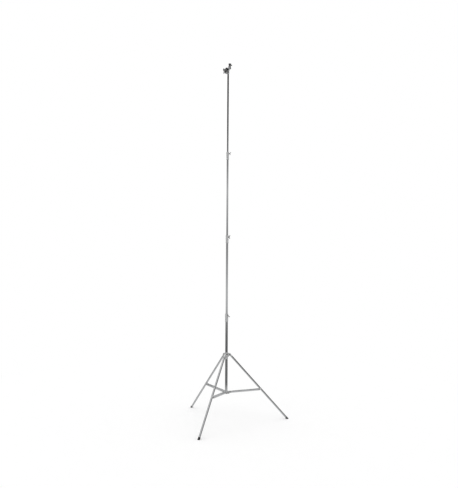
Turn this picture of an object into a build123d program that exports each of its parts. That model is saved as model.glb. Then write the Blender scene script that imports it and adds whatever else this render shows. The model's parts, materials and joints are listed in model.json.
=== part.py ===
"""Overhead lighting stand: a braced tripod, a column, three telescoping risers and a grip head.

Millimetres, +Z up. The origin is on the mast's axis, on the floor. Leg 1 points along +X.
The stand is modelled open and fully raised.
"""

from build123d import *
from math import atan2, cos, degrees, hypot, radians, sin
import os

os.makedirs("parts", exist_ok=True)

# ---------------------------------------------------------------- driving dimensions
# tripod, in the vertical plane that holds each leg: radius from the mast, height
LEG_AZIMUTHS = (0, 120, 240)
FOOT_RADIUS = 1000
CROWN_PIVOT_RADIUS = 54
CROWN_PIVOT_Z = 1044
HUB_PIVOT_RADIUS = 57
HUB_PIVOT_Z = 451
BRACE_PIN_DOWN_LEG = 740
BRACE_PIN_INSET = 24
PIVOT_BOLT_R = 5

# tubes
WALL = 1.5
COLUMN_R = 20
RISER_R = (17.5, 15, 12.5)
LEG_R = 15
COLUMN_BOTTOM_Z = 428
COLLAR_Z = (1628, 2897, 4270)
TUBE_TOP_BELOW_COLLAR = 8
RISER_OVERLAP = 180
RISER_3_TOP_Z = 5653

# fits
RUNNING = 0.05
FIXED_GAP = 0.03
SIDE_GAP = 0.3

# locking collars and their handles
COLLAR_HALF = 64
COLLAR_SCREW_UP = 32
HANDLE_AZIMUTHS = (-60, -38, -25)
HANDLE_ROLLS = (-52, 8, 35)
HANDLE_REACH = 20
HANDLE_ARM = 36
HANDLE_SWEEP = 25
SCREW_R = 5

# grip head
HEAD_AZIMUTH = 210
JAW_R = 50
JAW_UP = 36
JAW_THICK = 10
JAW_GAP = 4
JAW_ROD_R = 8
RECEIVER_BACK = 34
RECEIVER_TOP_UP = 172
RECEIVER_BORE_R = 14.4


def save(piece, name):
    """Label a finished piece and write it as its own file."""
    piece.part.label = name
    export_step(piece.part, f"parts/{name}.step")


def radial(azimuth):
    """Unit vector pointing away from the mast at this azimuth."""
    return Vector(cos(radians(azimuth)), sin(radians(azimuth)), 0)


def tangent(azimuth):
    """Unit vector a quarter turn on from the radial one."""
    return radial(azimuth + 90)


def side_plane(azimuth, height=0):
    """Vertical plane through the mast: local x is radius, local y is height."""
    return Plane(origin=(0, 0, height), x_dir=radial(azimuth), z_dir=-tangent(azimuth))


def facing_plane(azimuth, distance, height):
    """Plane across a radial screw: local x is level, local y is up, local z points outwards."""
    return Plane(origin=radial(azimuth) * distance + Vector(0, 0, height),
                 x_dir=tangent(azimuth), z_dir=radial(azimuth))


def ring(inner, outer, low, high):
    """Add a ring about the mast's axis, between two radii and two heights."""
    with BuildSketch(Plane.XZ) as profile:
        with Locations(((inner + outer) / 2, (low + high) / 2)):
            Rectangle(outer - inner, high - low)
    revolve(profile.sketch, axis=Axis.Z)


# ---------------------------------------------------------------- leg geometry
leg_angle = atan2(FOOT_RADIUS - CROWN_PIVOT_RADIUS, CROWN_PIVOT_Z)
leg_length = hypot(FOOT_RADIUS - CROWN_PIVOT_RADIUS, CROWN_PIVOT_Z)


def leg_direction(azimuth):
    """Unit vector from the crown pivot towards the foot."""
    return radial(azimuth) * sin(leg_angle) - Vector(0, 0, cos(leg_angle))


def leg_outward(azimuth):
    """Unit vector square to the leg, outwards and up."""
    return radial(azimuth) * cos(leg_angle) + Vector(0, 0, sin(leg_angle))


def crown_pivot(azimuth):
    return radial(azimuth) * CROWN_PIVOT_RADIUS + Vector(0, 0, CROWN_PIVOT_Z)


def leg_cross_plane(azimuth, down):
    """Plane square to the leg, at this distance down it from the crown pivot."""
    origin = crown_pivot(azimuth) + leg_direction(azimuth) * down
    return Plane(origin=origin, x_dir=leg_outward(azimuth), z_dir=leg_direction(azimuth))


def leg_side_plane(azimuth):
    """Vertical plane of the leg: local x is outwards from its axis, local y runs down it."""
    return Plane(origin=crown_pivot(azimuth), x_dir=leg_outward(azimuth), z_dir=tangent(azimuth))


brace_pin_radius = (CROWN_PIVOT_RADIUS + BRACE_PIN_DOWN_LEG * sin(leg_angle)
                    - BRACE_PIN_INSET * cos(leg_angle))
brace_pin_z = (CROWN_PIVOT_Z - BRACE_PIN_DOWN_LEG * cos(leg_angle)
               - BRACE_PIN_INSET * sin(leg_angle))
brace_length = hypot(brace_pin_radius - HUB_PIVOT_RADIUS, brace_pin_z - HUB_PIVOT_Z)
brace_slope = degrees(atan2(brace_pin_z - HUB_PIVOT_Z, brace_pin_radius - HUB_PIVOT_RADIUS))
print(f"leg angle {degrees(leg_angle):.3f} deg, leg length {leg_length:.2f} mm")
print(f"brace length {brace_length:.3f} mm, slope {brace_slope:.3f} deg")
print(f"brace pin at radius {brace_pin_radius:.3f}, height {brace_pin_z:.3f} mm")

# ---------------------------------------------------------------- column
column_top_z = COLLAR_Z[0] - TUBE_TOP_BELOW_COLLAR

with BuildPart() as base_column:
    with BuildSketch(Plane.XY.offset(COLUMN_BOTTOM_Z)):
        Circle(COLUMN_R)
        Circle(COLUMN_R - WALL, mode=Mode.SUBTRACT)
    extrude(amount=column_top_z - COLUMN_BOTTOM_Z)
save(base_column, "base_column")

PLUG_CAP = 6
PLUG_DEPTH = 18
with BuildPart() as column_plug:
    with BuildSketch(Plane.XY.offset(COLUMN_BOTTOM_Z - PLUG_CAP)):
        Circle(COLUMN_R)
    extrude(amount=PLUG_CAP)
    with BuildSketch(Plane.XY.offset(COLUMN_BOTTOM_Z)):
        Circle(COLUMN_R - WALL - FIXED_GAP)
        Circle(COLUMN_R - WALL - 4, mode=Mode.SUBTRACT)
    extrude(amount=PLUG_DEPTH)
    fillet(column_plug.edges().group_by(Axis.Z)[0], 3)
save(column_plug, "column_plug")

# ---------------------------------------------------------------- crown
# a casting clamped round the column, with a fork for each leg
FORK_HALF_GAP = 10.4
FORK_EAR = 7
FORK_R = 17
CROWN_LOW_Z = 973
CROWN_BODY_Z = 1020
CROWN_TOP_Z = 1076
CROWN_SLEEVE_R = 24
CROWN_BODY_R = 29
CLAMP_AZIMUTH = -60
CLAMP_BOLT_R = 4
CLAMP_BOLT_RADIUS = 43
CLAMP_HALF = 11
CLAMP_SLIT = 3

with BuildPart() as crown:
    with BuildSketch(Plane.XY.offset(CROWN_LOW_Z)):
        Circle(CROWN_SLEEVE_R)
    extrude(amount=CROWN_TOP_Z - CROWN_LOW_Z)
    with BuildSketch(Plane.XY.offset(CROWN_BODY_Z)):
        Circle(CROWN_BODY_R)
    extrude(amount=CROWN_TOP_Z - CROWN_BODY_Z - 8)
    chamfer(crown.edges().filter_by(GeomType.CIRCLE).group_by(Axis.Z)[0], 2)
    chamfer(crown.edges().filter_by(GeomType.CIRCLE).group_by(Axis.Z)[-1], 2)
    for azimuth in LEG_AZIMUTHS:
        for side in (-1, 1):
            ear_plane = side_plane(azimuth).offset(side * FORK_HALF_GAP)
            with BuildSketch(ear_plane):
                with Locations((CROWN_PIVOT_RADIUS, CROWN_PIVOT_Z)):
                    Circle(FORK_R)
                with BuildLine():
                    Polyline(
                        (COLUMN_R + 3, CROWN_TOP_Z - 10),
                        (CROWN_PIVOT_RADIUS + 3, CROWN_PIVOT_Z + FORK_R - 0.3),
                        (CROWN_PIVOT_RADIUS + 3, CROWN_PIVOT_Z - FORK_R + 0.3),
                        (COLUMN_R + 3, CROWN_BODY_Z - 16),
                        close=True,
                    )
                make_face()
            extrude(amount=side * FORK_EAR)
    # clamp boss, split by a slit and drawn together by one bolt
    with BuildSketch(side_plane(CLAMP_AZIMUTH)):
        with Locations((CLAMP_BOLT_RADIUS - 9, CROWN_PIVOT_Z)):
            Rectangle(36, 26)
    extrude(amount=CLAMP_HALF, both=True)
    fillet(crown.edges().filter_by(Axis.Z).sort_by_distance(
        radial(CLAMP_AZIMUTH) * 52 + Vector(0, 0, CROWN_PIVOT_Z))[:2], 3)
    with BuildSketch(Plane.XY.offset(CROWN_LOW_Z - 1)):
        Circle(COLUMN_R + FIXED_GAP)
    extrude(amount=CROWN_TOP_Z - CROWN_LOW_Z + 2, mode=Mode.SUBTRACT)
    with BuildSketch(side_plane(CLAMP_AZIMUTH)):
        with Locations((CLAMP_BOLT_RADIUS, CROWN_PIVOT_Z)):
            Rectangle(54, 70)
    extrude(amount=CLAMP_SLIT / 2, both=True, mode=Mode.SUBTRACT)
    with BuildSketch(side_plane(CLAMP_AZIMUTH)):
        with Locations((CLAMP_BOLT_RADIUS, CROWN_PIVOT_Z)):
            Circle(CLAMP_BOLT_R + RUNNING)
    extrude(amount=CLAMP_HALF + 1, both=True, mode=Mode.SUBTRACT)
    for azimuth in LEG_AZIMUTHS:
        with BuildSketch(side_plane(azimuth)):
            with Locations((CROWN_PIVOT_RADIUS, CROWN_PIVOT_Z)):
                Circle(PIVOT_BOLT_R + FIXED_GAP)
        extrude(amount=FORK_HALF_GAP + FORK_EAR + 1, both=True, mode=Mode.SUBTRACT)
save(crown, "crown")

# ---------------------------------------------------------------- bolts
HEAD_ACROSS_R = 9
HEAD_HIGH = 6.5
NUT_HIGH = 8
THREAD_SHOWS = 3
WASHER_R = 10
WASHER_THICK = 1.5


def bolt(plane, shank_r, grip_half, head_r=HEAD_ACROSS_R, head_high=HEAD_HIGH):
    """A hex bolt through a stack: head on one side of the plane, thread showing on the other."""
    with BuildSketch(plane.offset(-grip_half)) as shank:
        Circle(shank_r)
    extrude(shank.sketch, amount=2 * grip_half + NUT_HIGH + THREAD_SHOWS)
    with BuildSketch(plane.offset(-grip_half)) as head:
        RegularPolygon(head_r, 6)
    extrude(head.sketch, amount=-head_high)


def nut(plane, shank_r, grip_half, nut_r=HEAD_ACROSS_R):
    """A hex nut with its washer on the thread side of a bolt."""
    with BuildSketch(plane.offset(grip_half)) as washer:
        Circle(nut_r + 1)
        Circle(shank_r + FIXED_GAP, mode=Mode.SUBTRACT)
    extrude(washer.sketch, amount=WASHER_THICK)
    with BuildSketch(plane.offset(grip_half + WASHER_THICK)) as flats:
        RegularPolygon(nut_r, 6)
        Circle(shank_r + FIXED_GAP, mode=Mode.SUBTRACT)
    extrude(flats.sketch, amount=NUT_HIGH - WASHER_THICK)


def pivot_plane(azimuth, radius, height):
    """Upright plane of a leg, centred on a pivot at this radius and height."""
    return Plane(origin=radial(azimuth) * radius + Vector(0, 0, height),
                 x_dir=radial(azimuth), z_dir=-tangent(azimuth))


crown_planes = [pivot_plane(a, CROWN_PIVOT_RADIUS, CROWN_PIVOT_Z) for a in LEG_AZIMUTHS]

with BuildPart() as crown_pivot_bolts:
    for plane in crown_planes:
        bolt(plane, PIVOT_BOLT_R, FORK_HALF_GAP + FORK_EAR)
save(crown_pivot_bolts, "crown_pivot_bolts")

with BuildPart() as crown_pivot_nuts:
    for plane in crown_planes:
        nut(plane, PIVOT_BOLT_R, FORK_HALF_GAP + FORK_EAR)
save(crown_pivot_nuts, "crown_pivot_nuts")

with BuildPart() as crown_clamp_bolt:
    bolt(pivot_plane(CLAMP_AZIMUTH, CLAMP_BOLT_RADIUS, CROWN_PIVOT_Z), CLAMP_BOLT_R, CLAMP_HALF,
         head_r=7, head_high=5)
save(crown_clamp_bolt, "crown_clamp_bolt")

with BuildPart() as crown_clamp_nut:
    nut(pivot_plane(CLAMP_AZIMUTH, CLAMP_BOLT_RADIUS, CROWN_PIVOT_Z), CLAMP_BOLT_R, CLAMP_HALF,
        nut_r=7)
save(crown_clamp_nut, "crown_clamp_nut")

# ---------------------------------------------------------------- hub
# a casting that slides on the column's lower end, with a tongue for each brace
TONGUE_HALF = 17
TONGUE_R = 12
HUB_LOW_Z = 430
HUB_TOP_Z = 474
HUB_R = 27
BRACE_BAR = 3
BRACE_HEIGHT = 25
BRACE_HALF_GAP = TONGUE_HALF + SIDE_GAP
HUB_SCREW_Z = 442
HUB_LOCK_REACH = 52
HUB_LOCK_ARM = 22

with BuildPart() as hub:
    with BuildSketch(Plane.XY.offset(HUB_LOW_Z)):
        Circle(HUB_R)
    extrude(amount=HUB_TOP_Z - HUB_LOW_Z)
    chamfer(hub.edges().group_by(Axis.Z)[0], 2)
    chamfer(hub.edges().group_by(Axis.Z)[-1], 3)
    for azimuth in LEG_AZIMUTHS:
        with BuildSketch(side_plane(azimuth)):
            with Locations((HUB_PIVOT_RADIUS, HUB_PIVOT_Z)):
                Circle(TONGUE_R)
            with Locations((HUB_PIVOT_RADIUS / 2 + 10, HUB_PIVOT_Z)):
                Rectangle(HUB_PIVOT_RADIUS - 20, 2 * TONGUE_R)
        extrude(amount=TONGUE_HALF, both=True)
    with BuildSketch(facing_plane(CLAMP_AZIMUTH, COLUMN_R + 1, HUB_SCREW_Z)):
        Circle(11)
    extrude(amount=19)
    with BuildSketch(Plane.XY.offset(HUB_LOW_Z - 5)):
        Circle(COLUMN_R + RUNNING)
    extrude(amount=HUB_TOP_Z - HUB_LOW_Z + 10, mode=Mode.SUBTRACT)
    with BuildSketch(facing_plane(CLAMP_AZIMUTH, COLUMN_R - 5, HUB_SCREW_Z)):
        Circle(SCREW_R + RUNNING)
    extrude(amount=40, mode=Mode.SUBTRACT)
    for azimuth in LEG_AZIMUTHS:
        with BuildSketch(side_plane(azimuth)):
            with Locations((HUB_PIVOT_RADIUS, HUB_PIVOT_Z)):
                Circle(PIVOT_BOLT_R + FIXED_GAP)
        extrude(amount=TONGUE_HALF + 1, both=True, mode=Mode.SUBTRACT)
save(hub, "hub")

hub_planes = [pivot_plane(a, HUB_PIVOT_RADIUS, HUB_PIVOT_Z) for a in LEG_AZIMUTHS]
hub_grip_half = BRACE_HALF_GAP + BRACE_BAR + SIDE_GAP

with BuildPart() as hub_pivot_bolts:
    for plane in hub_planes:
        bolt(plane, PIVOT_BOLT_R, hub_grip_half)
save(hub_pivot_bolts, "hub_pivot_bolts")

with BuildPart() as hub_pivot_nuts:
    for plane in hub_planes:
        nut(plane, PIVOT_BOLT_R, hub_grip_half)
save(hub_pivot_nuts, "hub_pivot_nuts")


def tee_handle(azimuth, height, start, reach, roll, arm):
    """A screw with a cast handle of two swept arms, which stand one above the other at roll 0."""
    with BuildSketch(facing_plane(azimuth, start, height)) as screw:
        Circle(SCREW_R)
    extrude(screw.sketch, amount=reach - start)
    with BuildSketch(facing_plane(azimuth, reach - 8, height)) as neck_foot:
        Circle(8)
    with BuildSketch(facing_plane(azimuth, reach, height)) as neck_top:
        Circle(7)
    loft([neck_foot.sketch, neck_top.sketch])
    centre = radial(azimuth) * reach + Vector(0, 0, height)
    with Locations(Location(Plane(origin=centre, z_dir=radial(azimuth)))):
        Sphere(7.5)
    upward = tangent(azimuth) * sin(radians(roll)) + Vector(0, 0, cos(radians(roll)))
    sideways = radial(azimuth).cross(upward)
    for end in (1, -1):
        along = (upward * (end * cos(radians(HANDLE_SWEEP)))
                 + radial(azimuth) * sin(radians(HANDLE_SWEEP)))
        arm_plane = Plane(origin=centre, x_dir=along.cross(sideways), z_dir=sideways)
        with BuildSketch(arm_plane) as outline:
            with BuildLine():
                Line((0, 0), (0, arm))
                ThreePointArc((0, arm), (4.2, arm - 1.8), (6, arm - 6))
                Polyline((6, arm - 6), (4.7, arm * 0.6), (6.5, 5), (6.5, 0), (0, 0))
            make_face()
        revolve(outline.sketch, axis=Axis(centre, along))


with BuildPart() as hub_lock_screw:
    tee_handle(CLAMP_AZIMUTH, HUB_SCREW_Z, COLUMN_R + SIDE_GAP, HUB_LOCK_REACH, -70, HUB_LOCK_ARM)
save(hub_lock_screw, "hub_lock_screw")

# ---------------------------------------------------------------- legs
KNUCKLE_R = 15
KNUCKLE_HALF = 10
KNUCKLE_LONG = 42
KNUCKLE_PLUG = 40
BAND_LONG = 30
BAND_THICK = 1.6
LUG_HALF = 9
LUG_R = 12
BUSH_R = 8.5
FOOT_R = 18
FOOT_COVER = 34
FOOT_PAST_FLOOR = 12
tube_end = leg_length - 18
boot_top = leg_length - FOOT_COVER
boot_tip = leg_length + FOOT_PAST_FLOOR

for number, azimuth in enumerate(LEG_AZIMUTHS, start=1):
    section = leg_side_plane(azimuth)
    leg_axis = Axis(crown_pivot(azimuth), leg_direction(azimuth))

    with BuildPart() as leg_tube:
        with BuildSketch(leg_cross_plane(azimuth, KNUCKLE_LONG)):
            Circle(LEG_R)
            Circle(LEG_R - WALL, mode=Mode.SUBTRACT)
        extrude(amount=tube_end - KNUCKLE_LONG)
    save(leg_tube, f"leg_tube_{number}")

    # the knuckle is a casting whose shank is pinned in the tube
    with BuildPart() as leg_knuckle:
        with BuildSketch(section):
            Circle(KNUCKLE_R)
            with Locations((0, KNUCKLE_LONG / 2)):
                Rectangle(2 * KNUCKLE_R - 2, KNUCKLE_LONG)
        extrude(amount=KNUCKLE_HALF, both=True)
        with BuildSketch(leg_cross_plane(azimuth, KNUCKLE_LONG - 12)):
            Circle(LEG_R - 0.5)
        extrude(amount=12)
        with BuildSketch(leg_cross_plane(azimuth, KNUCKLE_LONG)):
            Circle(LEG_R - WALL - FIXED_GAP)
        extrude(amount=KNUCKLE_PLUG)
        with BuildSketch(section):
            Circle(PIVOT_BOLT_R + RUNNING)
        extrude(amount=KNUCKLE_HALF + 1, both=True, mode=Mode.SUBTRACT)
    save(leg_knuckle, f"leg_knuckle_{number}")

    # a band round the tube with a lug on the inner side for the brace pin
    band_r = LEG_R + BAND_THICK
    with BuildPart() as leg_bracket:
        with BuildSketch(leg_cross_plane(azimuth, BRACE_PIN_DOWN_LEG - BAND_LONG / 2)):
            Circle(band_r)
        extrude(amount=BAND_LONG)
        with BuildSketch(section):
            with Locations((-BRACE_PIN_INSET, BRACE_PIN_DOWN_LEG)):
                Circle(LUG_R)
            with Locations((-BRACE_PIN_INSET / 2, BRACE_PIN_DOWN_LEG)):
                Rectangle(BRACE_PIN_INSET, 2 * LUG_R)
        extrude(amount=LUG_HALF, both=True)
        with BuildSketch(leg_cross_plane(azimuth, BRACE_PIN_DOWN_LEG - BAND_LONG)):
            Circle(LEG_R + FIXED_GAP)
        extrude(amount=2 * BAND_LONG, mode=Mode.SUBTRACT)
        with BuildSketch(section):
            with Locations((-BRACE_PIN_INSET, BRACE_PIN_DOWN_LEG)):
                Circle(BUSH_R + FIXED_GAP)
        extrude(amount=LUG_HALF + 1, both=True, mode=Mode.SUBTRACT)
    save(leg_bracket, f"leg_bracket_{number}")

    with BuildPart() as brace_bush:
        with BuildSketch(section):
            with Locations((-BRACE_PIN_INSET, BRACE_PIN_DOWN_LEG)):
                Circle(BUSH_R)
        extrude(amount=TONGUE_HALF, both=True)
    save(brace_bush, f"brace_bush_{number}")

    # rubber foot: a boot on the tube's end, ground flat where it stands
    with BuildPart() as foot:
        with BuildSketch(section):
            with BuildLine():
                Polyline(
                    (0, tube_end),
                    (LEG_R + FIXED_GAP, tube_end),
                    (LEG_R + FIXED_GAP, boot_top),
                    (FOOT_R - 1.2, boot_top),
                    (FOOT_R - 0.4, boot_top + 1),
                    (FOOT_R - 0.4, boot_top + 5),
                    (FOOT_R - 1.4, boot_top + 7),
                    (FOOT_R, leg_length - 14),
                    (FOOT_R, leg_length - 2),
                )
                ThreePointArc((FOOT_R, leg_length - 2), (FOOT_R * 0.6, boot_tip - 2.5), (0, boot_tip))
                Line((0, boot_tip), (0, tube_end))
            make_face()
        revolve(axis=leg_axis)
        split(bisect_by=Plane.XY, keep=Keep.TOP)
    save(foot, f"foot_{number}")

# ---------------------------------------------------------------- braces
# two flat bars that straddle the hub's tongue and the leg
DOME_R = 8
DOME_HIGH = 3
DOME_TAPER = 30

for number, azimuth in enumerate(LEG_AZIMUTHS, start=1):
    hub_point = radial(azimuth) * HUB_PIVOT_RADIUS + Vector(0, 0, HUB_PIVOT_Z)
    leg_point = radial(azimuth) * brace_pin_radius + Vector(0, 0, brace_pin_z)
    brace_plane = Plane(origin=(hub_point + leg_point) / 2, x_dir=leg_point - hub_point,
                        z_dir=-tangent(azimuth))

    with BuildPart() as brace_bars:
        for side in (-1, 1):
            with BuildSketch(brace_plane.offset(side * BRACE_HALF_GAP)):
                SlotCenterToCenter(brace_length, BRACE_HEIGHT)
                with Locations((-brace_length / 2, 0), (brace_length / 2, 0)):
                    Circle(PIVOT_BOLT_R + RUNNING, mode=Mode.SUBTRACT)
            extrude(amount=side * BRACE_BAR)
    save(brace_bars, f"brace_bars_{number}")

    # domed bolt end at each side of the leg, with the short shank that fills its bar's hole
    with BuildPart() as brace_bolt_ends:
        for side in (-1, 1):
            end_plane = Plane(origin=leg_point, x_dir=leg_point - hub_point,
                              z_dir=tangent(azimuth) * -side)
            with BuildSketch(end_plane.offset(BRACE_HALF_GAP)):
                Circle(PIVOT_BOLT_R)
            extrude(amount=BRACE_BAR)
            with BuildSketch(end_plane.offset(BRACE_HALF_GAP + BRACE_BAR)):
                Circle(DOME_R)
            extrude(amount=DOME_HIGH, taper=DOME_TAPER)
    save(brace_bolt_ends, f"brace_bolt_ends_{number}")

# ---------------------------------------------------------------- risers
outer_r = (COLUMN_R, RISER_R[0], RISER_R[1])
tube_top_z = (
    COLLAR_Z[1] - TUBE_TOP_BELOW_COLLAR,
    COLLAR_Z[2] - TUBE_TOP_BELOW_COLLAR,
    RISER_3_TOP_Z + 35,
)
tube_bottom_z = [z - TUBE_TOP_BELOW_COLLAR - RISER_OVERLAP for z in COLLAR_Z]
BUSH_COLLAR = 4
BUSH_UP = 55
BUSH_PLUG = 20

for number in (1, 2, 3):
    tube_r = RISER_R[number - 1]
    bottom_z = tube_bottom_z[number - 1]

    with BuildPart() as riser_tube:
        with BuildSketch(Plane.XY.offset(bottom_z)):
            Circle(tube_r)
            Circle(tube_r - WALL, mode=Mode.SUBTRACT)
        extrude(amount=tube_top_z[number - 1] - bottom_z)
    save(riser_tube, f"riser_tube_{number}")

    # nylon bush that guides the riser's lower end in the tube outside it
    bush_r = outer_r[number - 1] - WALL - RUNNING
    with BuildPart() as riser_bush:
        ring(0, bush_r, bottom_z - BUSH_COLLAR, bottom_z)
        ring(tube_r + FIXED_GAP, bush_r, bottom_z, bottom_z + BUSH_UP)
        ring(0, tube_r - WALL - FIXED_GAP, bottom_z, bottom_z + BUSH_PLUG)
    save(riser_bush, f"riser_bush_{number}")

# ---------------------------------------------------------------- locking collars
BOSS_R = 13
BOSS_PAST_TUBE = 10
SHOE_LONG = 5
PIN_R = 3
PIN_DOWN = 34

for number in (1, 2, 3):
    centre_z = COLLAR_Z[number - 1]
    tube_r = outer_r[number - 1]
    riser_r = RISER_R[number - 1]
    azimuth = HANDLE_AZIMUTHS[number - 1]
    screw_z = centre_z + COLLAR_SCREW_UP
    step_z = centre_z - TUBE_TOP_BELOW_COLLAR
    sleeve_r = tube_r + 4.5
    body_r = tube_r + 6

    with BuildPart() as collar:
        with BuildSketch(Plane.XZ):
            with BuildLine():
                Polyline(
                    (0, centre_z - COLLAR_HALF),
                    (sleeve_r + 1.5, centre_z - COLLAR_HALF),
                    (sleeve_r + 2.5, centre_z - COLLAR_HALF + 1.5),
                    (sleeve_r + 2.5, centre_z - COLLAR_HALF + 7),
                    (sleeve_r, centre_z - COLLAR_HALF + 10),
                    (sleeve_r, step_z - 6),
                    (body_r, step_z + 2),
                    (body_r, centre_z + COLLAR_HALF - 12),
                    (riser_r + 6, centre_z + COLLAR_HALF - 2),
                    (riser_r + 5, centre_z + COLLAR_HALF),
                    (0, centre_z + COLLAR_HALF),
                    close=True,
                )
            make_face()
        revolve()
        with BuildSketch(facing_plane(azimuth, 0, screw_z)):
            Circle(BOSS_R)
        extrude(amount=tube_r + BOSS_PAST_TUBE)
        boss_face = collar.faces().sort_by(Axis((0, 0, 0), radial(azimuth)))[-1]
        chamfer(boss_face.edges(), 2)
        with BuildSketch(Plane.XY.offset(centre_z - COLLAR_HALF - 1)):
            Circle(tube_r + FIXED_GAP)
        extrude(amount=step_z - centre_z + COLLAR_HALF + 1, mode=Mode.SUBTRACT)
        with BuildSketch(Plane.XY.offset(step_z - 1)):
            Circle(riser_r + RUNNING)
        extrude(amount=COLLAR_HALF + TUBE_TOP_BELOW_COLLAR + 2, mode=Mode.SUBTRACT)
        with BuildSketch(facing_plane(azimuth, riser_r - 4, screw_z)):
            Circle(SCREW_R + RUNNING)
        extrude(amount=tube_r + 20, mode=Mode.SUBTRACT)
        for turn in (90, -90):
            with BuildSketch(facing_plane(azimuth + turn, tube_r - 2, centre_z - PIN_DOWN)):
                Circle(PIN_R + FIXED_GAP)
            extrude(amount=12, mode=Mode.SUBTRACT)
    save(collar, f"collar_{number}")

    # two domed pins that hold the collar on its tube
    with BuildPart() as collar_pins:
        for turn in (90, -90):
            with BuildSketch(facing_plane(azimuth + turn, tube_r + 0.2, centre_z - PIN_DOWN)):
                Circle(PIN_R)
            extrude(amount=4.6)
            with BuildSketch(facing_plane(azimuth + turn, tube_r + 4.8, centre_z - PIN_DOWN)):
                Circle(5)
            extrude(amount=2.2, taper=30)
    save(collar_pins, f"collar_pins_{number}")

    # brass shoe that the handle's screw presses on the riser
    with BuildPart() as collar_shoe:
        with BuildSketch(facing_plane(azimuth, riser_r + SIDE_GAP, screw_z)):
            Circle(SCREW_R - RUNNING)
        extrude(amount=SHOE_LONG)
    save(collar_shoe, f"collar_shoe_{number}")

    with BuildPart() as collar_handle:
        tee_handle(azimuth, screw_z, riser_r + 2 * SIDE_GAP + SHOE_LONG, tube_r + HANDLE_REACH,
                   HANDLE_ROLLS[number - 1], HANDLE_ARM)
    save(collar_handle, f"collar_handle_{number}")

# ---------------------------------------------------------------- grip head
# local x of the head's plane runs towards the jaws, local y is height above riser 3's shoulder
head_plane = side_plane(HEAD_AZIMUTH, RISER_3_TOP_Z)
receiver_axis = radial(HEAD_AZIMUTH) * -RECEIVER_BACK
SOCKET_R = 18
SOCKET_LOW = -12
SOCKET_DEPTH = 36
FACE_U = 19
JAW_BOLT_R = 7
RECEIVER_R = 17.5
RECEIVER_RIM_R = 21.5
RECEIVER_LOW = 84
RECEIVER_FLOOR = 92
ARM_HALF = 9

with BuildPart() as head_body:
    with BuildSketch(Plane.XY.offset(RISER_3_TOP_Z + SOCKET_LOW)):
        Circle(SOCKET_R)
    extrude(amount=76)
    chamfer(head_body.edges().group_by(Axis.Z)[0], 2)
    chamfer(head_body.edges().group_by(Axis.Z)[-1], 4)
    # round boss that faces the rear jaw plate
    with BuildSketch(facing_plane(HEAD_AZIMUTH, -4, RISER_3_TOP_Z + JAW_UP)):
        Circle(25)
    extrude(amount=FACE_U + 4)
    # arm up to the receiver
    with BuildSketch(head_plane):
        with BuildLine():
            Polyline(
                (12, 40), (12, 62), (-2, 84), (-9, 130), (-RECEIVER_BACK, 130),
                (-RECEIVER_BACK, 86), (-20, 46), close=True,
            )
        make_face()
    extrude(amount=ARM_HALF, both=True)
    with BuildSketch(Plane.XY.offset(RISER_3_TOP_Z + SOCKET_LOW - 1)):
        Circle(RISER_R[2] + RUNNING)
    extrude(amount=SOCKET_DEPTH - SOCKET_LOW + 1, mode=Mode.SUBTRACT)
    with BuildSketch(facing_plane(HEAD_AZIMUTH, RISER_R[2] + 0.5, RISER_3_TOP_Z + JAW_UP)):
        Circle(JAW_BOLT_R + FIXED_GAP)
    extrude(amount=10, mode=Mode.SUBTRACT)
    receiver_base = Plane(origin=receiver_axis + Vector(0, 0, RISER_3_TOP_Z + RECEIVER_LOW - FIXED_GAP))
    with BuildSketch(receiver_base):
        Circle(RECEIVER_R + FIXED_GAP)
    extrude(amount=60, mode=Mode.SUBTRACT)
    with BuildSketch(receiver_base):
        Circle(RECEIVER_RIM_R + FIXED_GAP)
    extrude(amount=24, mode=Mode.SUBTRACT)
save(head_body, "head_body")

# socket for a 28.6 mm spigot, beaded at both ends
receiver_section = Plane(origin=receiver_axis + Vector(0, 0, RISER_3_TOP_Z),
                         x_dir=radial(HEAD_AZIMUTH), z_dir=-tangent(HEAD_AZIMUTH))
receiver_line = Axis(receiver_axis + Vector(0, 0, RISER_3_TOP_Z), (0, 0, 1))
RECEIVER_SCREW_UP = 156

with BuildPart() as receiver:
    with BuildSketch(receiver_section):
        with BuildLine():
            Polyline(
                (0, RECEIVER_LOW),
                (RECEIVER_RIM_R - 3, RECEIVER_LOW),
                (RECEIVER_RIM_R, RECEIVER_LOW + 3),
                (RECEIVER_RIM_R, RECEIVER_LOW + 18),
                (RECEIVER_R, RECEIVER_LOW + 22),
                (RECEIVER_R, RECEIVER_TOP_UP - 30),
                (RECEIVER_RIM_R, RECEIVER_TOP_UP - 26),
                (RECEIVER_RIM_R, RECEIVER_TOP_UP - 3),
                (RECEIVER_RIM_R - 2, RECEIVER_TOP_UP),
                (RECEIVER_BORE_R, RECEIVER_TOP_UP),
                (RECEIVER_BORE_R, RECEIVER_FLOOR),
                (0, RECEIVER_FLOOR),
                close=True,
            )
        make_face()
    revolve(axis=receiver_line)
    with BuildSketch(facing_plane(HEAD_AZIMUTH + 180, RECEIVER_BACK + 10,
                                  RISER_3_TOP_Z + RECEIVER_SCREW_UP)):
        Circle(4 + RUNNING)
    extrude(amount=20, mode=Mode.SUBTRACT)
save(receiver, "receiver")

with BuildPart() as receiver_screw:
    with BuildSketch(facing_plane(HEAD_AZIMUTH + 180, RECEIVER_BACK + RECEIVER_BORE_R + 0.6,
                                  RISER_3_TOP_Z + RECEIVER_SCREW_UP)):
        Circle(4)
    extrude(amount=16)
    with BuildSketch(facing_plane(HEAD_AZIMUTH + 180, RECEIVER_BACK + 27,
                                  RISER_3_TOP_Z + RECEIVER_SCREW_UP)):
        Circle(9)
        with PolarLocations(10.5, 6):
            Circle(2.6, mode=Mode.SUBTRACT)
    extrude(amount=15)
    knob_face = receiver_screw.faces().sort_by(Axis((0, 0, 0), radial(HEAD_AZIMUTH + 180)))[-1]
    chamfer(knob_face.edges(), 1)
save(receiver_screw, "receiver_screw")

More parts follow.
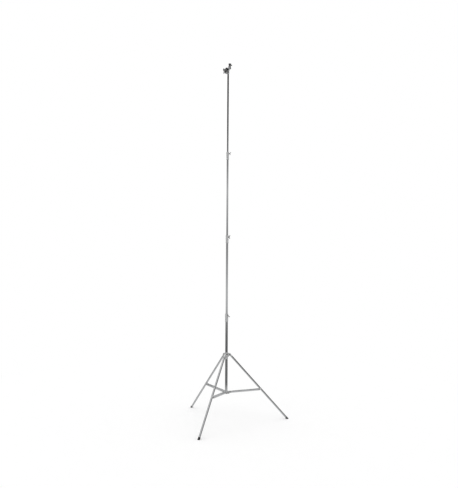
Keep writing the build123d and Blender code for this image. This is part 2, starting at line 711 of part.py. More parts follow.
# fixed bolt that carries both jaw plates and the handle
rear_u = FACE_U + SIDE_GAP
front_u = rear_u + JAW_THICK + JAW_GAP
nut_u = front_u + JAW_THICK + SIDE_GAP
JAW_BOLT_END = nut_u + 30

with BuildPart() as jaw_bolt:
    with BuildSketch(facing_plane(HEAD_AZIMUTH, RISER_R[2] + 1, RISER_3_TOP_Z + JAW_UP)):
        Circle(JAW_BOLT_R)
    extrude(amount=JAW_BOLT_END - RISER_R[2] - 1)
save(jaw_bolt, "jaw_bolt")

groove_depth = JAW_ROD_R - JAW_GAP / 2
GROOVE_UP = 27


def jaw_plate(start_u, facing):
    """A disc with a round groove above its bolt and a V groove below, on the face at facing."""
    with BuildSketch(facing_plane(HEAD_AZIMUTH, start_u, RISER_3_TOP_Z + JAW_UP)) as disc:
        Circle(JAW_R)
        Circle(JAW_BOLT_R + RUNNING, mode=Mode.SUBTRACT)
    extrude(disc.sketch, amount=JAW_THICK)
    face_u = start_u + JAW_THICK if facing > 0 else start_u
    cross = Plane(origin=radial(HEAD_AZIMUTH) * face_u + Vector(0, 0, RISER_3_TOP_Z + JAW_UP),
                  x_dir=radial(HEAD_AZIMUTH) * facing, z_dir=tangent(HEAD_AZIMUTH) * -facing)
    with BuildSketch(cross) as grooves:
        with Locations((JAW_GAP / 2, GROOVE_UP)):
            Circle(JAW_ROD_R)
        with BuildLine():
            Polyline((2, -15), (-5.5, -27), (2, -39), close=True)
        make_face()
    extrude(grooves.sketch, amount=JAW_R + 2, both=True, mode=Mode.SUBTRACT)


with BuildPart() as jaw_plate_rear:
    jaw_plate(rear_u, 1)
save(jaw_plate_rear, "jaw_plate_rear")

with BuildPart() as jaw_plate_front:
    jaw_plate(front_u, -1)
save(jaw_plate_front, "jaw_plate_front")

# the handle is a long nut with a bar that slides through it
NUT_R = 14
NUT_LONG = 56
BAR_R = 4.5
BAR_U = nut_u + 46
KNOB_R = 7.5
KNOB_LONG = 11
BAR_CLEAR = 66

with BuildPart() as jaw_handle:
    with BuildSketch(facing_plane(HEAD_AZIMUTH, nut_u, RISER_3_TOP_Z + JAW_UP)):
        Circle(NUT_R + 4)
    extrude(amount=4)
    with BuildSketch(facing_plane(HEAD_AZIMUTH, nut_u + 4, RISER_3_TOP_Z + JAW_UP)):
        Circle(NUT_R)
    extrude(amount=NUT_LONG - 4)
    with BuildSketch(facing_plane(HEAD_AZIMUTH, nut_u - 1, RISER_3_TOP_Z + JAW_UP)):
        Circle(JAW_BOLT_R + RUNNING)
    extrude(amount=JAW_BOLT_END - nut_u + 2, mode=Mode.SUBTRACT)
    bar_base = Plane(origin=radial(HEAD_AZIMUTH) * BAR_U + Vector(0, 0, RISER_3_TOP_Z))
    with BuildSketch(bar_base):
        Circle(BAR_R + RUNNING)
    extrude(amount=80, mode=Mode.SUBTRACT)
save(jaw_handle, "jaw_handle")

with BuildPart() as jaw_handle_bar:
    bar_top = JAW_UP + NUT_R + SIDE_GAP
    with BuildSketch(bar_base.offset(bar_top - BAR_CLEAR - KNOB_LONG)):
        Circle(KNOB_R)
    extrude(amount=KNOB_LONG)
    with BuildSketch(bar_base.offset(bar_top)):
        Circle(KNOB_R)
    extrude(amount=KNOB_LONG)
    chamfer(jaw_handle_bar.edges().filter_by(GeomType.CIRCLE), 2)
    with BuildSketch(bar_base.offset(bar_top - BAR_CLEAR - 2)):
        Circle(BAR_R)
    extrude(amount=BAR_CLEAR + 4)
save(jaw_handle_bar, "jaw_handle_bar")
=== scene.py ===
import bmesh
import bpy
import json
from math import cos, pi, radians, sin
from mathutils import Matrix, Vector

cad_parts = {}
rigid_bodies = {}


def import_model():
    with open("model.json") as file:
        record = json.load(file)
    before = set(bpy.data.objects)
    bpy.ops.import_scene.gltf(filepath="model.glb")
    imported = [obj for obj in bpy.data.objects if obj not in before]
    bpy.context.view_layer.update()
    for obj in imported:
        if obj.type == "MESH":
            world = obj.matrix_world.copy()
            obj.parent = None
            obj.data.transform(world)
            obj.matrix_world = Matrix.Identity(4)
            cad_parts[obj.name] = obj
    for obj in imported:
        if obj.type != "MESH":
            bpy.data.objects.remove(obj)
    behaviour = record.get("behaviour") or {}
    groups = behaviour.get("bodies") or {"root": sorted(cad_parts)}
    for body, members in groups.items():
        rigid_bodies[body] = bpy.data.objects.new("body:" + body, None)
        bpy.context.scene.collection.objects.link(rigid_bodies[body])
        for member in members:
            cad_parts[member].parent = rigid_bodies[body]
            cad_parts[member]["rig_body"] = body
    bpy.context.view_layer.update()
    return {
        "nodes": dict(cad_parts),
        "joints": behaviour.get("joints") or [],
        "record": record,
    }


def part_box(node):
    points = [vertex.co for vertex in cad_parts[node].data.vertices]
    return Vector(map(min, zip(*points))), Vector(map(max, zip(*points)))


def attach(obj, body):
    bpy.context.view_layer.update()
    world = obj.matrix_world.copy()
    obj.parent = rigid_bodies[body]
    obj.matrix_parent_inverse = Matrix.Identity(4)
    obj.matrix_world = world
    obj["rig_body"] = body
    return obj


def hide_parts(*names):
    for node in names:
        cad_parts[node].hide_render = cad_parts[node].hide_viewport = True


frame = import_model()
joints = {joint["name"]: joint for joint in frame["joints"]}
mounts = {mount["name"]: mount for mount in frame["record"]["mounts"]}

# ---------------------------------------------------------------- camera
# It stands eight metres off at a little above head height, tipped up slightly to take in the whole
# mast. Leg 1 points to its right and leg 3 comes towards it.
CAMERA_AWAY = 8.11
CAMERA_HIGH = 2.33
CAMERA_TIPPED_UP = 0.060
CAMERA_TURNED = 0.00376
CAMERA_ROLLED = 0.0058
LEG_1_OFF_RIGHT = 0.130
CAMERA_LENS = 36.885

camera_body = bpy.data.cameras.new("camera")
camera_body.lens = CAMERA_LENS
camera_body.sensor_width = 36
camera = bpy.data.objects.new("camera", camera_body)
bpy.context.scene.collection.objects.link(camera)
camera.matrix_world = (
    Matrix.Rotation(-LEG_1_OFF_RIGHT, 4, "Z")
    @ Matrix.Translation((0, -CAMERA_AWAY, CAMERA_HIGH))
    @ Matrix.Rotation(-CAMERA_TURNED, 4, "Z")
    @ Matrix.Rotation(pi / 2 + CAMERA_TIPPED_UP, 4, "X")
    @ Matrix.Rotation(CAMERA_ROLLED, 4, "Z")
)
bpy.context.scene.camera = camera

# ---------------------------------------------------------------- base column
# The lowest tube of the mast: drawn steel with a bright chrome plate, cut square and deburred at both
# ends. The crown is clamped on it, the hub slides on its lower end and collar 1 is pinned on its top.
WALL = 0.0015
DEBURR = 0.0004
SHARP_CORNER = radians(32)
UP = Vector((0, 0, 1))


def placed(base, direction, sideways=None):
    """A placement at a base point, with its z axis along a direction and its x axis sideways."""
    z = Vector(direction).normalized()
    x = Vector(sideways) if sideways else z.orthogonal()
    x = (x - z * x.dot(z)).normalized()
    placement = Matrix((x, z.cross(x), z)).transposed().to_4x4()
    placement.translation = base
    return placement


def add_rings(shape, rings):
    """Skins a closed loop of rings; a ring of one point closes the skin on the axis."""
    for here, ahead in zip(rings, rings[1:] + rings[:1]):
        count = max(len(here), len(ahead))
        if count == 1:
            continue
        for i in range(count):
            j = (i + 1) % count
            corners = [here[i % len(here)], here[j % len(here)], ahead[j % len(ahead)], ahead[i % len(ahead)]]
            shape.faces.new(list(dict.fromkeys(corners)))


def add_turned(shape, profile, place, sides=48):
    """Turns a closed profile of (radius, height) points about the placement's z axis."""
    rings = []
    for radius, height in profile:
        turns = sides if radius > 1e-7 else 1
        angles = [2 * pi * i / sides for i in range(turns)]
        points = [Vector((radius * cos(a), radius * sin(a), height)) for a in angles]
        rings.append([shape.verts.new(place @ point) for point in points])
    add_rings(shape, rings)


def add_tube(shape, place, outer, inner, low, high, sides=64):
    """A length of tube with deburred ends; solid bar where inner is zero."""
    profile = [
        (inner, low),
        (outer - DEBURR, low),
        (outer, low + DEBURR),
        (outer, high - DEBURR),
        (outer - DEBURR, high),
        (inner, high),
    ]
    add_turned(shape, profile, place, sides)


def install(shape, node, made, finish):
    """Closes a shape into a piece that stands for one CAD node and rides on its body."""
    bmesh.ops.recalc_face_normals(shape, faces=shape.faces)
    mesh = bpy.data.meshes.new(f"{node}.{made}")
    shape.to_mesh(mesh)
    shape.free()
    mesh.shade_smooth()
    mesh.set_sharp_from_angle(angle=SHARP_CORNER)
    mesh.materials.append(finish)
    piece = bpy.data.objects.new(f"{node}.{made}", mesh)
    bpy.context.scene.collection.objects.link(piece)
    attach(piece, frame["nodes"][node]["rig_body"])
    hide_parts(node)
    return piece


def add_node(tree, kind, inputs=None, **settings):
    """Adds a shader node; each input is a plain value or another node's output."""
    made = tree.nodes.new("ShaderNode" + kind)
    for name, value in settings.items():
        setattr(made, name, value)
    for name, value in (inputs or {}).items():
        if isinstance(value, bpy.types.NodeSocket):
            tree.links.new(value, made.inputs[name])
        else:
            made.inputs[name].default_value = value
    return made


def add_vector(tree, operation, first, second):
    """Arithmetic on two vectors, or on a vector and a number to scale it by."""
    second_input = "Scale" if operation == "SCALE" else 1
    made = add_node(tree, "VectorMath", {0: first, second_input: second}, operation=operation)
    return made.outputs["Vector"]


def add_range(tree, value, low, high, start=0.0, end=1.0):
    """Stretches what lies from start to end so that it runs from low to high."""
    settings = {"Value": value, "From Min": start, "From Max": end, "To Min": low, "To Max": high}
    return add_node(tree, "MapRange", settings).outputs["Result"]


def add_blend(tree, share, first, second):
    """Blends two colours, each three numbers or another node's output."""
    a, b = (each if isinstance(each, bpy.types.NodeSocket) else (*each, 1) for each in (first, second))
    return add_node(tree, "Mix", {"Factor": share, "A": a, "B": b}, data_type="RGBA").outputs["Result"]


def dress(tree, surface, colour, rough, height, strength, depth):
    """Feeds a colour, a roughness and a fine relief to the surface shader."""
    relief = add_node(tree, "Bump", {"Height": height, "Strength": strength, "Distance": depth})
    tree.links.new(colour, surface.inputs["Base Color"])
    tree.links.new(rough, surface.inputs["Roughness"])
    tree.links.new(relief.outputs["Normal"], surface.inputs["Normal"])


def new_effect(name, inputs, outputs):
    """An empty node group with named sockets, and the nodes for what goes in and out."""
    tree = bpy.data.node_groups.new(name, "ShaderNodeTree")
    for label, kind, value in inputs:
        socket = tree.interface.new_socket(label, in_out="INPUT", socket_type="NodeSocket" + kind)
        socket.default_value = value
    for label in outputs:
        tree.interface.new_socket(label, in_out="OUTPUT", socket_type="NodeSocketFloat")
    return tree, tree.nodes.new("NodeGroupInput"), tree.nodes.new("NodeGroupOutput")


def place_effect(tree, effect, **values):
    """Puts a shared node group in a material, with its own values."""
    made = tree.nodes.new("ShaderNodeGroup")
    made.node_tree = effect
    for label, value in values.items():
        made.inputs[label].default_value = value
    return made


# fine lines left by the drawing die and the polishing belt, all along one direction
drawn_lines, given, result = new_effect(
    "drawn_lines", [("Along", "Vector", (0, 0, 1)), ("Fineness", "Float", 900.0)],
    ["Lines", "Scratches"],
)
where = add_node(drawn_lines, "TexCoord").outputs["Object"]
lengthwise = add_node(drawn_lines, "VectorMath", {0: where, 1: given.outputs["Along"]},
                      operation="DOT_PRODUCT").outputs["Value"]
along_part = add_vector(drawn_lines, "SCALE", given.outputs["Along"], lengthwise)
across_part = add_vector(drawn_lines, "SUBTRACT", where, along_part)
squeezed = add_vector(drawn_lines, "SCALE", along_part, 0.006)
stretched = add_vector(drawn_lines, "ADD", across_part, squeezed)
line_noise = add_node(drawn_lines, "TexNoise", {"Vector": stretched, "Scale": given.outputs["Fineness"],
                                                "Detail": 3.0, "Roughness": 0.62})
long_marks = add_vector(drawn_lines, "SCALE", along_part, 0.05)
slid_over = add_vector(drawn_lines, "ADD", across_part, long_marks)
scratch_noise = add_node(drawn_lines, "TexNoise", {"Vector": slid_over, "Scale": 420.0, "Detail": 1.0})
scratches = add_range(drawn_lines, scratch_noise.outputs["Fac"], 0, 1, 0.66, 0.74)
drawn_lines.links.new(line_noise.outputs["Fac"], result.inputs["Lines"])
drawn_lines.links.new(scratches, result.inputs["Scratches"])

# cloudy patches left by hands and wiping
handling, given, result = new_effect(
    "handling", [("Patch size", "Float", 0.06), ("Cover", "Float", 0.45)], ["Smears", "Specks"],
)
where = add_node(handling, "TexCoord").outputs["Object"]
patch_scale = add_node(handling, "Math", {0: 1.0, 1: given.outputs["Patch size"]}, operation="DIVIDE")
smear_noise = add_node(handling, "TexNoise", {"Vector": where, "Scale": patch_scale.outputs["Value"],
                                              "Detail": 5.0, "Roughness": 0.58, "Distortion": 0.7})
clear_share = add_node(handling, "Math", {0: 1.0, 1: given.outputs["Cover"]}, operation="SUBTRACT")
thick_smear = add_node(handling, "Math", {0: clear_share.outputs["Value"], 1: 0.25}, operation="ADD")
smears = add_range(handling, smear_noise.outputs["Fac"], 0, 1, clear_share.outputs["Value"],
                   thick_smear.outputs["Value"])
speck_noise = add_node(handling, "TexNoise", {"Vector": where, "Scale": 1400.0, "Detail": 2.0})
specks = add_range(handling, speck_noise.outputs["Fac"], 0, 1, 0.64, 0.72)
handling.links.new(smears, result.inputs["Smears"])
handling.links.new(specks, result.inputs["Specks"])


def new_finish(name):
    """A new material, its node tree and its surface shader."""
    finish = bpy.data.materials.new(name)
    finish.use_nodes = True
    return finish, finish.node_tree, finish.node_tree.nodes["Principled BSDF"]


def chromed_steel(name, along, fineness=900.0, smooth_rough=0.05, lined_rough=0.13, metal=1.0):
    """Bright chrome on drawn steel, with its fine lines running along one direction."""
    finish, tree, surface = new_finish(name)
    lines = place_effect(tree, drawn_lines, Along=along, Fineness=fineness).outputs
    smears = place_effect(tree, handling, **{"Patch size": 0.09, "Cover": 0.42}).outputs["Smears"]
    toned = add_blend(tree, smears, (0.80, 0.81, 0.82), (0.71, 0.71, 0.71))
    scored = add_blend(tree, lines["Scratches"], toned, (0.60, 0.60, 0.59))
    lined = add_range(tree, lines["Lines"], smooth_rough, lined_rough, 0.3, 0.7)
    smeared = add_node(tree, "Math", {0: smears, 1: 0.04, 2: lined}, operation="MULTIPLY_ADD")
    dress(tree, surface, scored, smeared.outputs["Value"], lines["Lines"], 0.06, 0.0001)
    surface.inputs["Metallic"].default_value = metal
    return finish


MAST = placed((0, 0, 0), UP)
mast_chrome = chromed_steel("mast_chrome", (0, 0, 1))
column_low, column_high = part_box("base_column")
COLUMN_R = (column_high.x - column_low.x) / 2
shape = bmesh.new()
add_tube(shape, MAST, COLUMN_R, COLUMN_R - WALL, column_low.z, column_high.z)
install(shape, "base_column", "drawn", mast_chrome)

# ---------------------------------------------------------------- column plug
# A moulded nylon plug pressed into the open lower end of the column, with a domed cap and a shallow
# dimple where the mould was gated.
plug_low, plug_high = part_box("column_plug")
PLUG_CAP = 0.006
PLUG_WALL = 0.004


def moulded(name, colour, rough):
    """Moulded plastic: a faint orange-peel skin with rubbed patches."""
    finish, tree, surface = new_finish(name)
    smears = place_effect(tree, handling, **{"Patch size": 0.015, "Cover": 0.5}).outputs["Smears"]
    rubbed = [0.5 * channel + 0.5 * (0.35 + 0.65 * channel) for channel in colour]
    toned = add_blend(tree, smears, colour, rubbed)
    where = add_node(tree, "TexCoord").outputs["Object"]
    skin = add_node(tree, "TexNoise", {"Vector": where, "Scale": 1100.0, "Detail": 2.0})
    dull = add_range(tree, smears, rough, rough + 0.18)
    dress(tree, surface, toned, dull, skin.outputs["Fac"], 0.25, 0.0002)
    return finish


black_nylon = moulded("black_nylon", (0.022, 0.022, 0.024), 0.42)
shape = bmesh.new()
add_turned(shape, [
    (0, plug_low.z + 0.0012),
    (0.004, plug_low.z + 0.001),
    (0.006, plug_low.z),
    (COLUMN_R - 0.004, plug_low.z),
    (COLUMN_R - 0.0015, plug_low.z + 0.001),
    (COLUMN_R, plug_low.z + 0.003),
    (COLUMN_R, plug_low.z + PLUG_CAP - 0.0003),
    (COLUMN_R - WALL, plug_low.z + PLUG_CAP - 0.0003),
    (COLUMN_R - WALL, plug_high.z - 0.001),
    (COLUMN_R - WALL - 0.001, plug_high.z),
    (COLUMN_R - WALL - PLUG_WALL, plug_high.z),
    (COLUMN_R - WALL - PLUG_WALL, plug_low.z + PLUG_CAP),
    (0, plug_low.z + PLUG_CAP),
], MAST)
install(shape, "column_plug", "moulded", black_nylon)

# ---------------------------------------------------------------- crown
# The casting that carries the three legs: a sleeve clamped round the column, a fork for each leg and a
# split boss. Sand cast, tumbled smooth and chromed, so its corners are soft and its skin is pebbled.
CROWN_GRAIN = 0.0014
SOFTEN_CROWN = 5
CROWN_FIN = Vector((0.0042, 0.0030, 0.021))
CROWN_FIN_RADIUS = 0.0255
CROWN_FIN_MID_Z = 0.998


def copy_of(node):
    """The CAD node's own solid, welded, as a start for a finer shape."""
    shape = bmesh.new()
    shape.from_mesh(frame["nodes"][node].data)
    bmesh.ops.remove_doubles(shape, verts=shape.verts, dist=2e-6)
    return shape


def melted(shape, grain, rounds):
    """Runs overlapping solids together into one skin with soft corners, as a casting has."""
    mesh = bpy.data.meshes.new("melt")
    shape.to_mesh(mesh)
    shape.free()
    lump = bpy.data.objects.new("melt", mesh)
    bpy.context.scene.collection.objects.link(lump)
    skin = lump.modifiers.new("skin", "REMESH")
    skin.mode = "VOXEL"
    skin.voxel_size = grain
    soften = lump.modifiers.new("soften", "SMOOTH")
    soften.factor = 0.5
    soften.iterations = rounds
    graph = bpy.context.evaluated_depsgraph_get()
    cast_mesh = bpy.data.meshes.new_from_object(lump.evaluated_get(graph))
    cast = bmesh.new()
    cast.from_mesh(cast_mesh)
    bpy.data.objects.remove(lump)
    bpy.data.meshes.remove(mesh)
    bpy.data.meshes.remove(cast_mesh)
    return cast


def add_block(shape, place, half):
    """A plain block with these half sizes, to be melted into a casting."""
    signs = ((-1, -1), (1, -1), (1, 1), (-1, 1))
    rings = []
    for level in (-half.z, half.z):
        points = [Vector((x * half.x, y * half.y, level)) for x, y in signs]
        rings.append([shape.verts.new(place @ point) for point in points])
    low, high = rings
    shape.faces.new(low)
    shape.faces.new(high)
    for i in range(4):
        j = (i + 1) % 4
        shape.faces.new([low[i], low[j], high[j], high[i]])


# pebbled skin of a casting, brighter where corners are rubbed, with a mask for painted shade in its hollows
cast_skin, given, result = new_effect(
    "cast_skin", [("Pebble size", "Float", 0.0016)], ["Pebbles", "Rubbed", "Hollow shade"],
)
where = add_node(cast_skin, "TexCoord").outputs["Object"]
pebble_scale = add_node(cast_skin, "Math", {0: 1.0, 1: given.outputs["Pebble size"]}, operation="DIVIDE")
pebbles = add_node(cast_skin, "TexNoise", {"Vector": where, "Scale": pebble_scale.outputs["Value"],
                                           "Detail": 4.0, "Roughness": 0.55})
bend = add_node(cast_skin, "NewGeometry").outputs["Pointiness"]
rubbed = add_range(cast_skin, bend, 0, 1, 0.505, 0.56)
# painted shade: concave places are masked so they can be darkened the way ambient shade would darken them
hollow_shade = add_range(cast_skin, bend, 0, 1, 0.495, 0.44)
cast_skin.links.new(pebbles.outputs["Fac"], result.inputs["Pebbles"])
cast_skin.links.new(rubbed, result.inputs["Rubbed"])
cast_skin.links.new(hollow_shade, result.inputs["Hollow shade"])


def plated_cast(name, pebble_size, plain_rough, depth, metal=1.0, tone=0.82):
    """Plate over a casting: brighter at rubbed corners, with painted shade greying the hollows."""
    finish, tree, surface = new_finish(name)
    skin = place_effect(tree, cast_skin, **{"Pebble size": pebble_size}).outputs
    smears = place_effect(tree, handling, **{"Patch size": 0.03, "Cover": 0.5}).outputs["Smears"]
    worn = add_blend(tree, skin["Rubbed"], (tone * 0.85, tone * 0.86, tone * 0.865), (tone, tone, tone))
    # painted shade: the hollows are darkened to about half the plate's tone
    shaded_hollows = add_blend(tree, skin["Hollow shade"], worn, (tone * 0.49, tone * 0.49, tone * 0.48))
    plain = add_range(tree, smears, plain_rough, plain_rough + 0.14)
    rough = add_node(tree, "Math", {0: skin["Rubbed"], 1: -0.08, 2: plain}, operation="MULTIPLY_ADD")
    dress(tree, surface, shaded_hollows, rough.outputs["Value"], skin["Pebbles"], 0.5, depth)
    surface.inputs["Metallic"].default_value = metal
    return finish


cast_chrome = plated_cast("cast_chrome", 0.0022, 0.28, 0.00018, 0.55)
shape = copy_of("crown")
for azimuth in (60, 180, 300):
    outwards = Vector((cos(radians(azimuth)), sin(radians(azimuth)), 0))
    fin_middle = outwards * CROWN_FIN_RADIUS + UP * CROWN_FIN_MID_Z
    add_block(shape, placed(fin_middle, UP, outwards), CROWN_FIN)
install(melted(shape, CROWN_GRAIN, SOFTEN_CROWN), "crown", "cast", cast_chrome)

# ---------------------------------------------------------------- crown bolts and nuts
# Zinc-plated hexagon bolts through the forks with locking nuts, one to each leg, and a smaller bolt
# and nut that draw the crown's split boss together on the column.
PIVOT_BOLT_R = 0.005
CLAMP_BOLT_R = 0.004
PIVOT_PITCH = 0.0015
CLAMP_PITCH = 0.00125
HEXAGON_R = 0.009
CLAMP_HEXAGON_R = 0.007
HEAD_HIGH = 0.0065
CLAMP_HEAD_HIGH = 0.005
NUT_HIGH = 0.008
NUT_SHOULDER = 0.0062
HEX_POINTS = 36
WASHER_THICK = 0.0015
THREAD_SHOWS = 0.003
FORK_GRIP = 0.0174
CLAMP_GRIP = 0.011
CHAMFER_SLOPE = 0.55


def hexagon_ring(shape, place, corner_r, limit_r, height, drop):
    """One ring of a hexagon cut down to a circle; drop lowers it where it stands past the circle."""
    ring = []
    for i in range(HEX_POINTS):
        turn = 2 * pi * i / HEX_POINTS
        flat_r = corner_r * cos(pi / 6) / cos(turn % (pi / 3) - pi / 6)
        radius = min(flat_r, limit_r)
        lowered = height + drop * max(0, radius - corner_r * cos(pi / 6) * 0.97)
        ring.append(shape.verts.new(place @ Vector((radius * cos(turn), radius * sin(turn), lowered))))
    return ring


def add_hexagon(shape, place, corner_r, low, high, bore=0.0):
    """A hexagon nut or bolt head, its corners turned off at both faces."""
    face_r = corner_r * cos(pi / 6) * 0.97
    rings = [
        hexagon_ring(shape, place, corner_r, face_r, low, 0),
        hexagon_ring(shape, place, corner_r, corner_r, low, CHAMFER_SLOPE),
        hexagon_ring(shape, place, corner_r, corner_r, high, -CHAMFER_SLOPE),
        hexagon_ring(shape, place, corner_r, face_r, high, 0),
    ]
    for height in (high, low):
        if bore:
            angles = [2 * pi * i / HEX_POINTS for i in range(HEX_POINTS)]
            points = [Vector((bore * cos(a), bore * sin(a), height)) for a in angles]
        else:
            points = [Vector((0, 0, height))]
        rings.append([shape.verts.new(place @ point) for point in points])
    add_rings(shape, rings)


def add_thread(shape, place, radius, pitch, low, high, sides=24):
    """A screw thread as a real helix, run out at both ends."""
    depth = 0.55 * pitch
    steps = int((high - low) / pitch * 6)
    rings = [[shape.verts.new(place @ Vector((0, 0, low)))]]
    for step in range(steps + 1):
        height = low + (high - low) * step / steps
        run_out = min(1, (height - low) / pitch, (high - height) / pitch)
        ring = []
        for i in range(sides):
            phase = (height / pitch - i / sides) % 1
            crest = 1 - abs(2 * phase - 1)
            r = radius - depth * (1 - crest * run_out)
            ring.append(shape.verts.new(
                place @ Vector((r * cos(2 * pi * i / sides), r * sin(2 * pi * i / sides), height))))
        rings.append(ring)
    rings.append([shape.verts.new(place @ Vector((0, 0, high)))])
    add_rings(shape, rings)


def add_washer(shape, place, outer, inner, low, high):
    """A flat washer with its stamped edge slightly rounded."""
    edge = 0.0003
    add_turned(shape, [(inner, low), (outer - edge, low), (outer, low + edge), (outer, high - edge),
                       (outer - edge, high), (inner, high)], place)


def add_bolt(shape, place, shank_r, grip, corner_r, head_high, pitch):
    """A hexagon bolt centred on its placement, head on the low side and thread on the high side."""
    add_hexagon(shape, place, corner_r, -grip - head_high, -grip)
    add_tube(shape, place, shank_r, 0, -grip, grip, 32)
    add_thread(shape, place, shank_r, pitch, grip - 0.001, grip + NUT_HIGH + THREAD_SHOWS)


def add_locking_nut(shape, place, bore, grip, corner_r):
    """A washer and a locking nut with its rolled collar."""
    add_washer(shape, place, corner_r + 0.001, bore, grip, grip + WASHER_THICK)
    hex_top = grip + NUT_SHOULDER
    add_hexagon(shape, place, corner_r, grip + WASHER_THICK, hex_top, bore)
    rim = corner_r * 0.84
    add_turned(shape, [(bore, hex_top - 0.0004), (rim, hex_top - 0.0004), (rim, hex_top + 0.0004),
                       (rim - 0.0012, grip + NUT_HIGH), (bore + 0.0004, grip + NUT_HIGH)], place)


def zinc_plate(name):
    """Passivated zinc: a soft grey metal with faint warm and cool blooms."""
    finish, tree, surface = new_finish(name)
    where = add_node(tree, "TexCoord").outputs["Object"]
    bloom = add_node(tree, "TexNoise", {"Vector": where, "Scale": 160.0, "Detail": 2.0}).outputs["Fac"]
    marks = place_effect(tree, handling, **{"Patch size": 0.008, "Cover": 0.5}).outputs
    hue = add_blend(tree, bloom, (0.50, 0.52, 0.55), (0.60, 0.57, 0.50))
    aged = add_blend(tree, marks["Specks"], hue, (0.24, 0.23, 0.22))
    rough = add_range(tree, marks["Smears"], 0.26, 0.46)
    dress(tree, surface, aged, rough, bloom, 0.15, 0.0002)
    surface.inputs["Metallic"].default_value = 1.0
    return finish


zinc = zinc_plate("zinc")
leg_pivots = [Vector(joints[f"leg_{n}_fold"]["pos_m"]) for n in (1, 2, 3)]
leg_tangents = [Vector(joints[f"leg_{n}_fold"]["axis"]) for n in (1, 2, 3)]


def bolt_pivots(casting, pivots, grip):
    """A bolt and a locking nut through each of a casting's three pivots."""
    bolts = bmesh.new()
    nuts = bmesh.new()
    for pivot, tangent in zip(pivots, leg_tangents):
        place = placed(pivot, -tangent)
        add_bolt(bolts, place, PIVOT_BOLT_R, grip, HEXAGON_R, HEAD_HIGH, PIVOT_PITCH)
        add_locking_nut(nuts, place, PIVOT_BOLT_R, grip, HEXAGON_R)
    install(bolts, f"{casting}_pivot_bolts", "rolled", zinc)
    install(nuts, f"{casting}_pivot_nuts", "rolled", zinc)


bolt_pivots("crown", leg_pivots, FORK_GRIP)

CLAMP_AZIMUTH = radians(-60)
clamp_out = Vector((cos(CLAMP_AZIMUTH), sin(CLAMP_AZIMUTH), 0))
CLAMP_BOLT_RADIUS = 0.043
clamp_place = placed(clamp_out * CLAMP_BOLT_RADIUS + UP * leg_pivots[0].z, clamp_out.cross(UP))
shape = bmesh.new()
add_bolt(shape, clamp_place, CLAMP_BOLT_R, CLAMP_GRIP, CLAMP_HEXAGON_R, CLAMP_HEAD_HIGH, CLAMP_PITCH)
install(shape, "crown_clamp_bolt", "rolled", zinc)

shape = bmesh.new()
add_locking_nut(shape, clamp_place, CLAMP_BOLT_R, CLAMP_GRIP, CLAMP_HEXAGON_R)
install(shape, "crown_clamp_nut", "rolled", zinc)

# ---------------------------------------------------------------- legs
# Three drawn and chromed tubes. A cast knuckle is pinned in the top of each and turns in the crown's
# fork; partway down, a cast band with a lug on the inner side takes the brace pin.
KNUCKLE_LONG = 0.042
KNUCKLE_PINS_DOWN = (0.056, 0.072)
KNUCKLE_PIN_R = 0.0022
TUBE_SHORT_OF_FLOOR = 0.018
LEG_R = 0.015
BRACE_PIN_DOWN = 0.740
BRACE_PIN_IN = 0.024
CAST_GRAIN = 0.0011
SOFTEN_CAST = 4

feet_on_floor = [Vector(mounts[f"foot_{n}_rest"]["pos_m"]) for n in (1, 2, 3)]
leg_ways = [(foot - pivot).normalized() for foot, pivot in zip(feet_on_floor, leg_pivots)]
leg_lengths = [(foot - pivot).length for foot, pivot in zip(feet_on_floor, leg_pivots)]
leg_outs = [tangent.cross(-way) for tangent, way in zip(leg_tangents, leg_ways)]
leg_places = [placed(pivot, way, out) for pivot, way, out in zip(leg_pivots, leg_ways, leg_outs)]
brace_pins = [place @ Vector((-BRACE_PIN_IN, 0, BRACE_PIN_DOWN)) for place in leg_places]


def add_rivet(shape, place, shank_r, head_r, head_high, deep):
    """A domed rivet head standing on the placement's plane, with its shank going down into it."""
    add_turned(shape, [(0, -deep), (shank_r, -deep), (shank_r, 0), (head_r, 0),
                       (head_r, head_high * 0.15), (head_r * 0.86, head_high * 0.62),
                       (head_r * 0.5, head_high * 0.93), (0, head_high)], place, 24)


def install_casting(node, grain, rounds):
    """Makes a plated casting with soft corners from the CAD node's own solid."""
    install(melted(copy_of(node), grain, rounds), node, "cast", cast_chrome)


for number, (place, way, out) in enumerate(zip(leg_places, leg_ways, leg_outs), start=1):
    leg_chrome = chromed_steel(f"leg_chrome_{number}", tuple(way))
    shape = bmesh.new()
    tube_bottom = leg_lengths[number - 1] - TUBE_SHORT_OF_FLOOR
    add_tube(shape, place, LEG_R, LEG_R - WALL, KNUCKLE_LONG, tube_bottom)
    for down in KNUCKLE_PINS_DOWN:
        for side in (1, -1):
            seat = place @ Vector((side * (LEG_R - 0.0004), 0, down))
            add_rivet(shape, placed(seat, out * side), KNUCKLE_PIN_R, KNUCKLE_PIN_R * 1.7, 0.0013, 0.001)
    install(shape, f"leg_tube_{number}", "drawn", leg_chrome)

    install_casting(f"leg_knuckle_{number}", CAST_GRAIN, SOFTEN_CAST)
    install_casting(f"leg_bracket_{number}", CAST_GRAIN, SOFTEN_CAST)

# ---------------------------------------------------------------- rubber feet
# A black rubber boot pushed on the end of each leg, with a lip, gripping ribs round it and a heavy
# sole moulded flat where it stands on the floor. Scuffed and dusty towards the sole.
FOOT_COVER = 0.034
FOOT_PAST = 0.012
FOOT_R = 0.018
FOOT_RIBS = 2
RIB_PITCH = 0.0042


